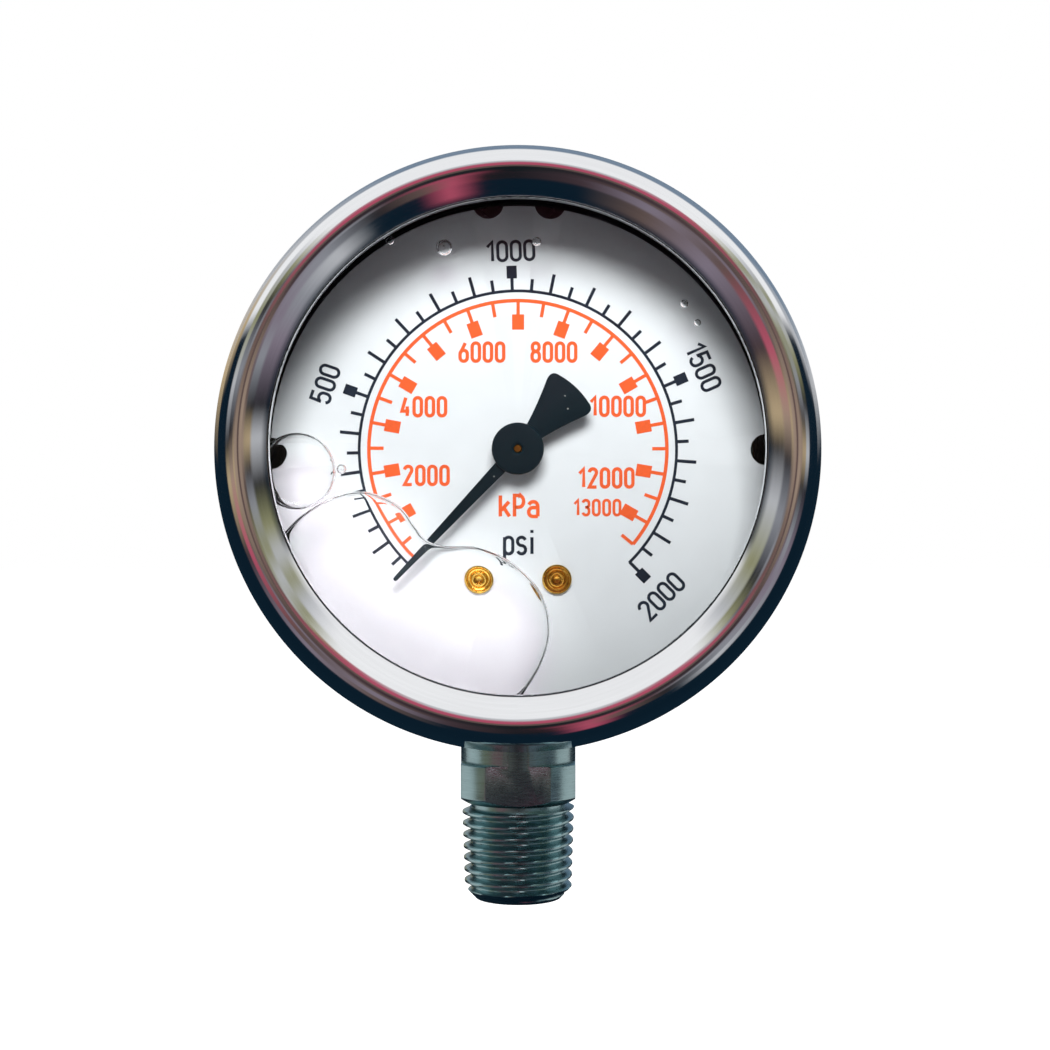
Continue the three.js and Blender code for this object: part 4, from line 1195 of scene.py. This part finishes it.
def studio_world():
    """Soft light for matt surfaces, a white backdrop, and a studio for gloss: a white softbox
    above, dark walls at the sides and below, and warm tones in front."""
    world = bpy.data.worlds.new("studio")
    bpy.context.scene.world = world
    nodes = Nodes(world)
    way = nodes.add("ShaderNodeTexCoord").outputs["Generated"]
    x, _, z = nodes.add("ShaderNodeSeparateXYZ", {0: way}).outputs
    high, ahead = (
        nodes.add("ShaderNodeVectorMath", {0: way, 1: axis}, operation="DOT_PRODUCT").outputs["Value"]
        for axis in (
            (0, math.sin(AXIS_TILT), math.cos(AXIS_TILT)),
            (0, -math.cos(AXIS_TILT), math.sin(AXIS_TILT)),
        )
    )
    turn = nodes.maths("ARCTAN2", x, high)
    bearing = nodes.maths("ADD", nodes.maths("DIVIDE", turn, 2 * math.pi), 0.5)
    off_axis = nodes.maths("MULTIPLY", nodes.maths("ARCCOSINE", ahead), 180 / math.pi)
    gloss = UMBER
    for start, end, stops in GLOSS_RINGS:
        ring = nodes.ramp(bearing, [(angle / 360 + 0.5, color) for angle, color in stops])
        gloss = nodes.mix(nodes.spread(off_axis, 0, 1, start, end), gloss, ring)
    height = nodes.spread(z, 0.0, 1.0, -0.6, 0.7)
    soft = nodes.ramp(height, [(0.0, SOFT_LOW), (1.0, SOFT_HIGH)])
    path = nodes.add("ShaderNodeLightPath").outputs
    seen = nodes.mix(path["Is Glossy Ray"], soft, gloss)
    seen = nodes.mix(path["Is Camera Ray"], seen, WHITE)
    background = nodes.add("ShaderNodeBackground", {"Color": seen, "Strength": 1.0})
    nodes.add("ShaderNodeOutputWorld", {"Surface": background.outputs[0]})


def soft_box(name, aim, place, size, power):
    light = bpy.data.lights.new(name, "AREA")
    light.shape = "RECTANGLE"
    light.size, light.size_y = size
    light.energy = power
    made = bpy.data.objects.new(name, light)
    made.location = place
    made.rotation_euler = (Vector(aim) - Vector(place)).to_track_quat("-Z", "Y").to_euler()
    made.visible_camera = False
    bpy.context.scene.collection.objects.link(made)
    return made


def floor():
    bm = bmesh.new()
    bmesh.ops.create_grid(bm, x_segments=8, y_segments=8, size=FLOOR_HALF)
    bmesh.ops.translate(bm, vec=(0, 0, FLOOR_Z), verts=bm.verts)
    ground = add_mesh("pale_floor", bm)
    material = shade("pale_floor", (0.94, 0.94, 0.94), (0.8, 0.9), grain=20, vary=0.005, bump=0.0)
    inputs = principled(material).inputs
    inputs["Emission Color"].default_value = (1, 1, 1, 1)
    inputs["Emission Strength"].default_value = FLOOR_GLOW
    ground.data.materials.append(material)
    ground.visible_glossy = False
    ground.visible_diffuse = False


def card_for(piece, name, aim, place, size, power):
    """A small soft box that lights one piece alone."""
    lit = bpy.data.collections.new(name)
    lit.objects.link(piece)
    card = soft_box(name, aim, place, size, power)
    card.data.color = CARD_COLOR
    card.light_linking.receiver_collection = lit


def studio(stem_piece, rivet):
    """A key light high in front, and cards for the stem and the bare rivet."""
    studio_world()
    floor()
    key = soft_box("key", Vector(AXIS) * MM, *KEY)
    key.visible_glossy = False
    for name, side in SIDES:
        (x, y, z), *size_and_power = SIDE_CARD
        card_for(stem_piece, f"{name}_card", THREAD_MIDDLE, (side * x, y, z), *size_and_power)
    card_for(stem_piece, "front_card", THREAD_MIDDLE, *FRONT_CARD)
    card_for(rivet, "rivet_card", Vector((RIVET_X, DIAL_FACE, RIVET_Z)) * MM, *RIVET_CARD)


def camera():
    """A level view from the front, a little below the dial's centre."""
    lens = bpy.data.cameras.new("camera")
    lens.sensor_width = 36
    lens.lens = LENS
    lens.clip_start = 0.01
    made = bpy.data.objects.new("camera", lens)
    made.location = Vector(CAMERA_PLACE) * MM
    made.rotation_euler = (math.radians(90), 0, 0)
    bpy.context.scene.collection.objects.link(made)
    bpy.context.scene.camera = made


# ---- The scene -------------------------------------------------------------------------

bpy.context.scene.view_settings.view_transform = "Standard"
camera()
bezel()
case_shell()
window_and_gasket()
fill_plug()
case_screws()
stem_piece = stem()
stem_seal()
restrictor()
dial()
black_print()
red_print()
studio(stem_piece, rivets())
pointer()
bubbles()
bourdon_tube()
carried_nodes()
